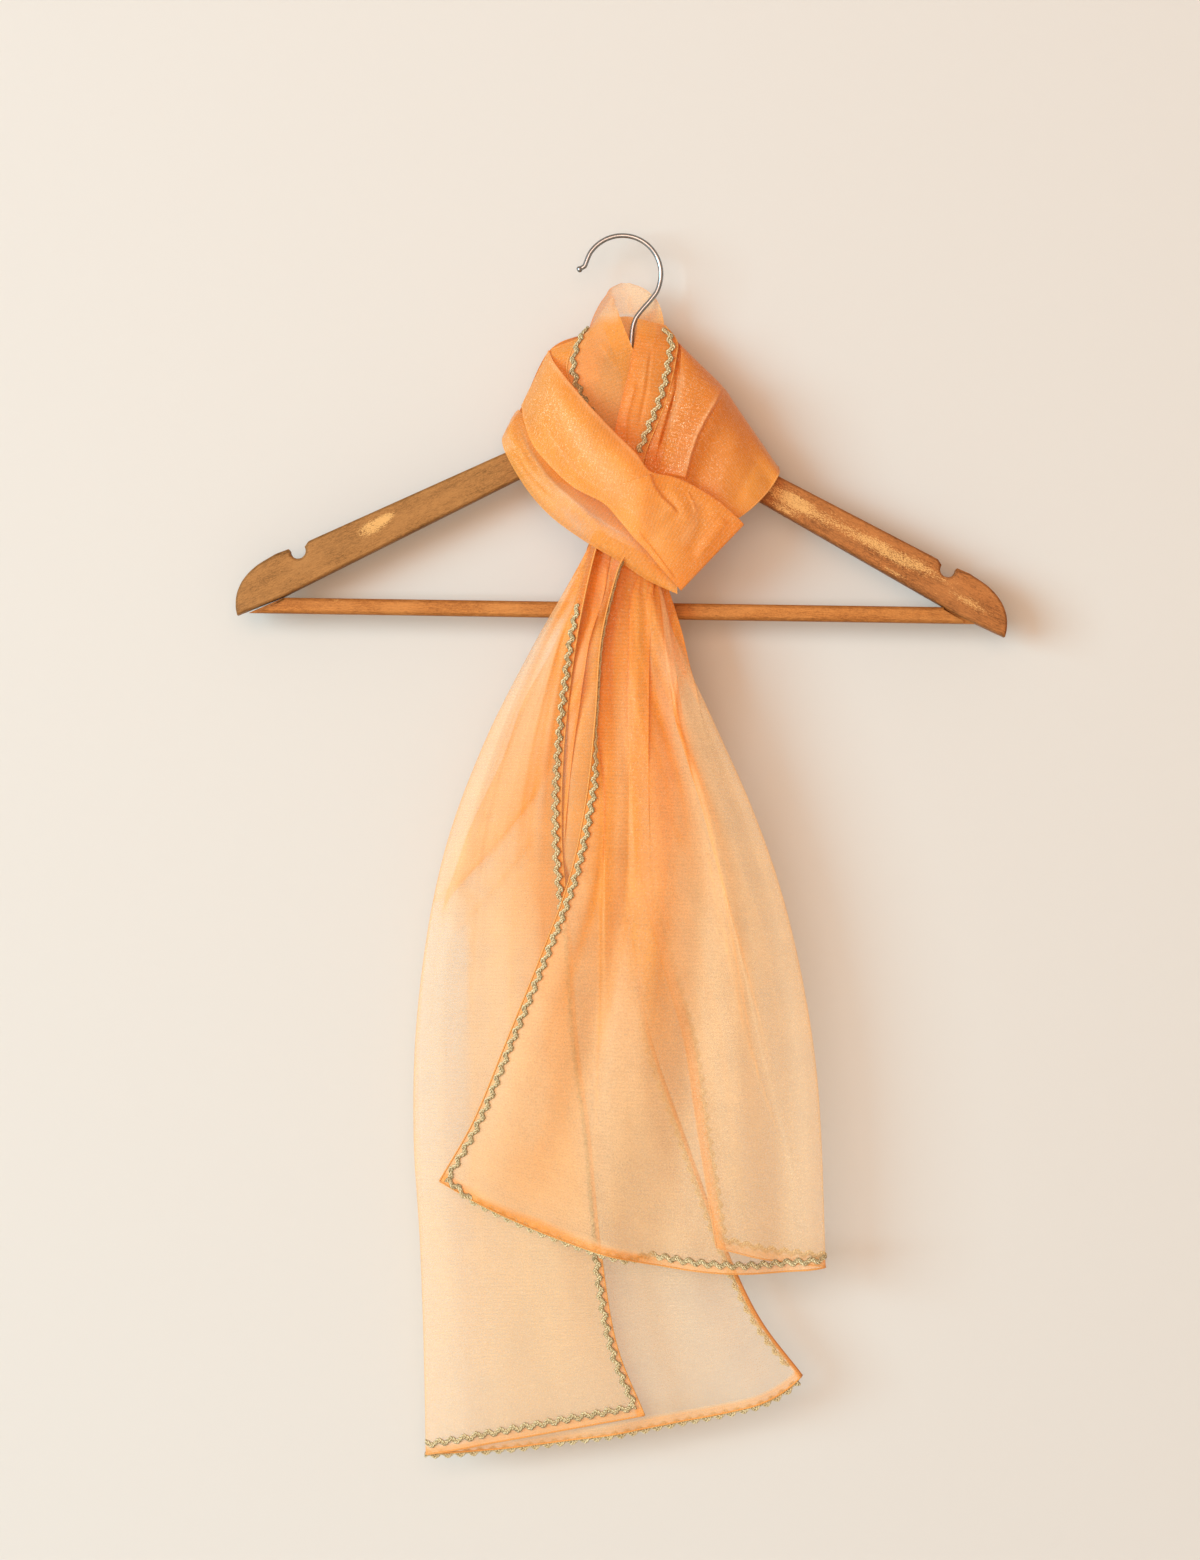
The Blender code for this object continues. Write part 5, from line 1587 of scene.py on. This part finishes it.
    # tails
    rear, layers, rear_fold = tail_grid(REAR_TAIL, 0, REAR_SAG, (REAR_TAIL_FRONT, REAR_TAIL_BACK), 240, (24, 18), 350.0)
    front_side = slice(0, rear_fold)
    for line, dense in (
        ([(-109.0, -386.0), (-90.0, -371.0), (-72.0, -354.0), (-50.0, -325.0), (-38.0, -296.0)], 1.5),
        ([(-95.0, -402.0), (-78.0, -384.0), (-60.0, -362.0), (-44.0, -340.0)], 0.7),
        ([(-66.0, -300.0), (-54.0, -270.0), (-40.0, -238.0)], 0.8),
    ):
        part, part_layers = rear[:, front_side].copy(), layers[:, front_side].copy()
        crease(part, part_layers, line, 1.1, 0.5, 12.0, dense, (0.05, 0.25))
        rear[:, front_side], layers[:, front_side] = part, part_layers
    behind = slice(rear_fold + 1, None)
    for line, dense in (
        ([(-13.3, -186.0), (-18.5, -232.4), (-24.3, -290.2), (-28.9, -319.0)], 2.2),
        ([(-8.1, -189.0), (-13.3, -238.2), (-18.5, -284.4)], 2.0),
        ([(-22.0, -330.0), (-20.0, -370.0), (-17.0, -420.0)], 1.2),
    ):
        part, part_layers = rear[:, behind].copy(), layers[:, behind].copy()
        crease(part, part_layers, line, 0.8, 0.6, 3.0, dense, (0.05, 0.25))
        rear[:, behind], layers[:, behind] = part, part_layers
    # painted highlight lines, on the front layers only
    keep("tail_rear", rear, layers, 20.0, ["stole_tail_rear"], mask_along_lines(rear, REAR_PAINTED_HIGHLIGHTS) * (np.arange(rear.shape[1]) < rear_fold))
    front, layers, front_fold = tail_grid(FRONT_TAIL, 1, FRONT_SAG, (FRONT_TAIL_FRONT, FRONT_TAIL_BACK), 220, (18, 20), 350.0)
    front_side = slice(0, front_fold)
    for line, dense, reach in (
        ([(20.8, -197.1), (24.3, -227.2), (32.9, -276.9), (43.4, -324.9), (58.9, -400.0), (71.7, -458.4), (83.2, -495.4), (99.4, -541.0)], 1.5, 0.0),
        ([(-3.0, -190.0), (-6.5, -279.0), (-9.0, -325.0), (-12.0, -383.0), (-12.5, -440.0), (-14.5, -498.0), (-17.0, -556.0)], 1.3, 7.0),
        ([(32.9, -330.0), (34.0, -365.0)], 1.2, 0.0),
        ([(11.6, -186.0), (9.2, -232.4), (6.9, -301.7)], 1.8, 3.0),
        ([(20.2, -194.8), (18.5, -238.2), (17.3, -290.2)], 1.6, 3.0),
        ([(-1.2, -191.9), (-4.6, -238.2), (-7.5, -290.2)], 1.8, 3.0),
        ([(-30.0, -430.0), (-38.0, -480.0), (-50.0, -540.0)], 0.7, 5.0),
    ):
        part, part_layers = front[:, front_side].copy(), layers[:, front_side].copy()
        crease(part, part_layers, line, 0.7, 0.4, reach, dense, (0.05, 0.2))
        front[:, front_side], layers[:, front_side] = part, part_layers
    # painted highlight lines, on the front layers only
    keep("tail_front", front, layers, 21.0, ["stole_tail_front"], mask_along_lines(front, FRONT_PAINTED_HIGHLIGHTS) * (np.arange(front.shape[1]) < front_fold))

    # braids
    last = -1
    ric_rac("trim_lapel_left", lapel_left, "first", -1, 6.0, 40.0, gold, "braid_lapel_left", seed=1, inset=3.8)
    ric_rac("trim_lapel_right", lapel_right, "first", -1, 6.0, 30.0, gold, "braid_lapel_right", seed=2, inset=4.0)
    ric_rac("trim_rear_side", rear, "first", -1, 44.0, 6.0, gold, "braid_rear_side", seed=3, inset=3.4, turned=[(-400.0, -585.0, 66)])
    ric_rac("trim_rear_hem", rear, "hem", -1, 3.0, 0.5, gold, "braid_rear_hem", span=(0, rear_fold), seed=4)
    ric_rac("trim_rear_back_side", rear, "last", 1, 4.0, 9.0, gold, "braid_rear_back_side", seed=5, inset=2.7)
    ric_rac("trim_rear_back_hem", rear, "hem", 1, 0.5, 3.0, gold, "braid_rear_back_hem", span=(rear_fold + 1, None), seed=6, inset=lambda run: np.full_like(run, -0.7))
    ric_rac("trim_front_side", front, "first", -1, 4.0, 4.5, gold, "braid_front_side", seed=7, inset=3.4, pressed=-300.0)
    ric_rac("trim_front_hem", front, "hem", -1, 3.0, 0.5, gold, "braid_front_hem", span=(0, front_fold), seed=8, far=(22.0, -86.0), inset=lambda run: -0.3 + 3.0 * (1 - smooth01((run - 8) / 14)) + 5.4 * smooth01((run - 118) / 16))
    ric_rac("trim_front_back_side", front, "last", 1, 30.0, 9.0, gold, "braid_front_back_side", seed=9)
    ric_rac("trim_front_back_hem", front, "hem", 1, 0.5, 3.0, gold, "braid_front_back_hem", span=(front_fold + 1, None), seed=10)

    # rolled hems on every cut edge that shows
    hems = {
        "hem_rear": [rear[:, 0], rear[-1]],
        "hem_rear_back": [rear[:, -1]],
        "hem_front": [front[:, 0], front[:, -1], front[-1]],
        "hem_lapel_left": [lapel_left[:, 0]],
        "hem_lapel_right": [lapel_right[:, 0]],
        "hem_shoulder": [shoulder[:, -1]],
    }
    for k, (name, lines) in enumerate(hems.items()):
        far_edge = name == "hem_rear_back"
        made[name] = (rolled_edge(name, lines, 1.1 if far_edge else 0.5, turned_hem if far_edge else hem, 30.0 + k), 0)
    return made


make_camera()
make_stage()
make_lights()
build_hanger()
made = build_stole()


def declare(name, width, length, cut=None):
    obj, area = made[name]
    flat_area = cut or width * length
    print("sheet", name, "area", round(area, 5), "cut", round(flat_area, 5), "ratio", round(area / flat_area, 3))


def folded_cut(front_hem, front_side, fold, back_side, back_hem):
    """Flat area of a tail folded lengthwise: two strips that share the fold's length."""
    return front_hem * (front_side + fold) / 2 + back_hem * (fold + back_side) / 2


declare("tail_rear", 0.344, 0.523, cut=folded_cut(0.122, 0.486, 0.523, 0.476, 0.222))
declare("tail_front", 0.295, 0.420, cut=folded_cut(0.233, 0.370, 0.420, 0.397, 0.062))
declare("collar_back", 0.045, 0.065)
declare("lapel_left", 0.035, 0.115)
declare("lapel_right", 0.03, 0.11)
declare("shoulder_left", 0.02, 0.03)
declare("shoulder_right", 0.075, 0.10)
declare("back_wrap", 0.095, 0.14)
declare("front_band", 0.045, 0.20)
declare("band_roll", 0.025, 0.15)
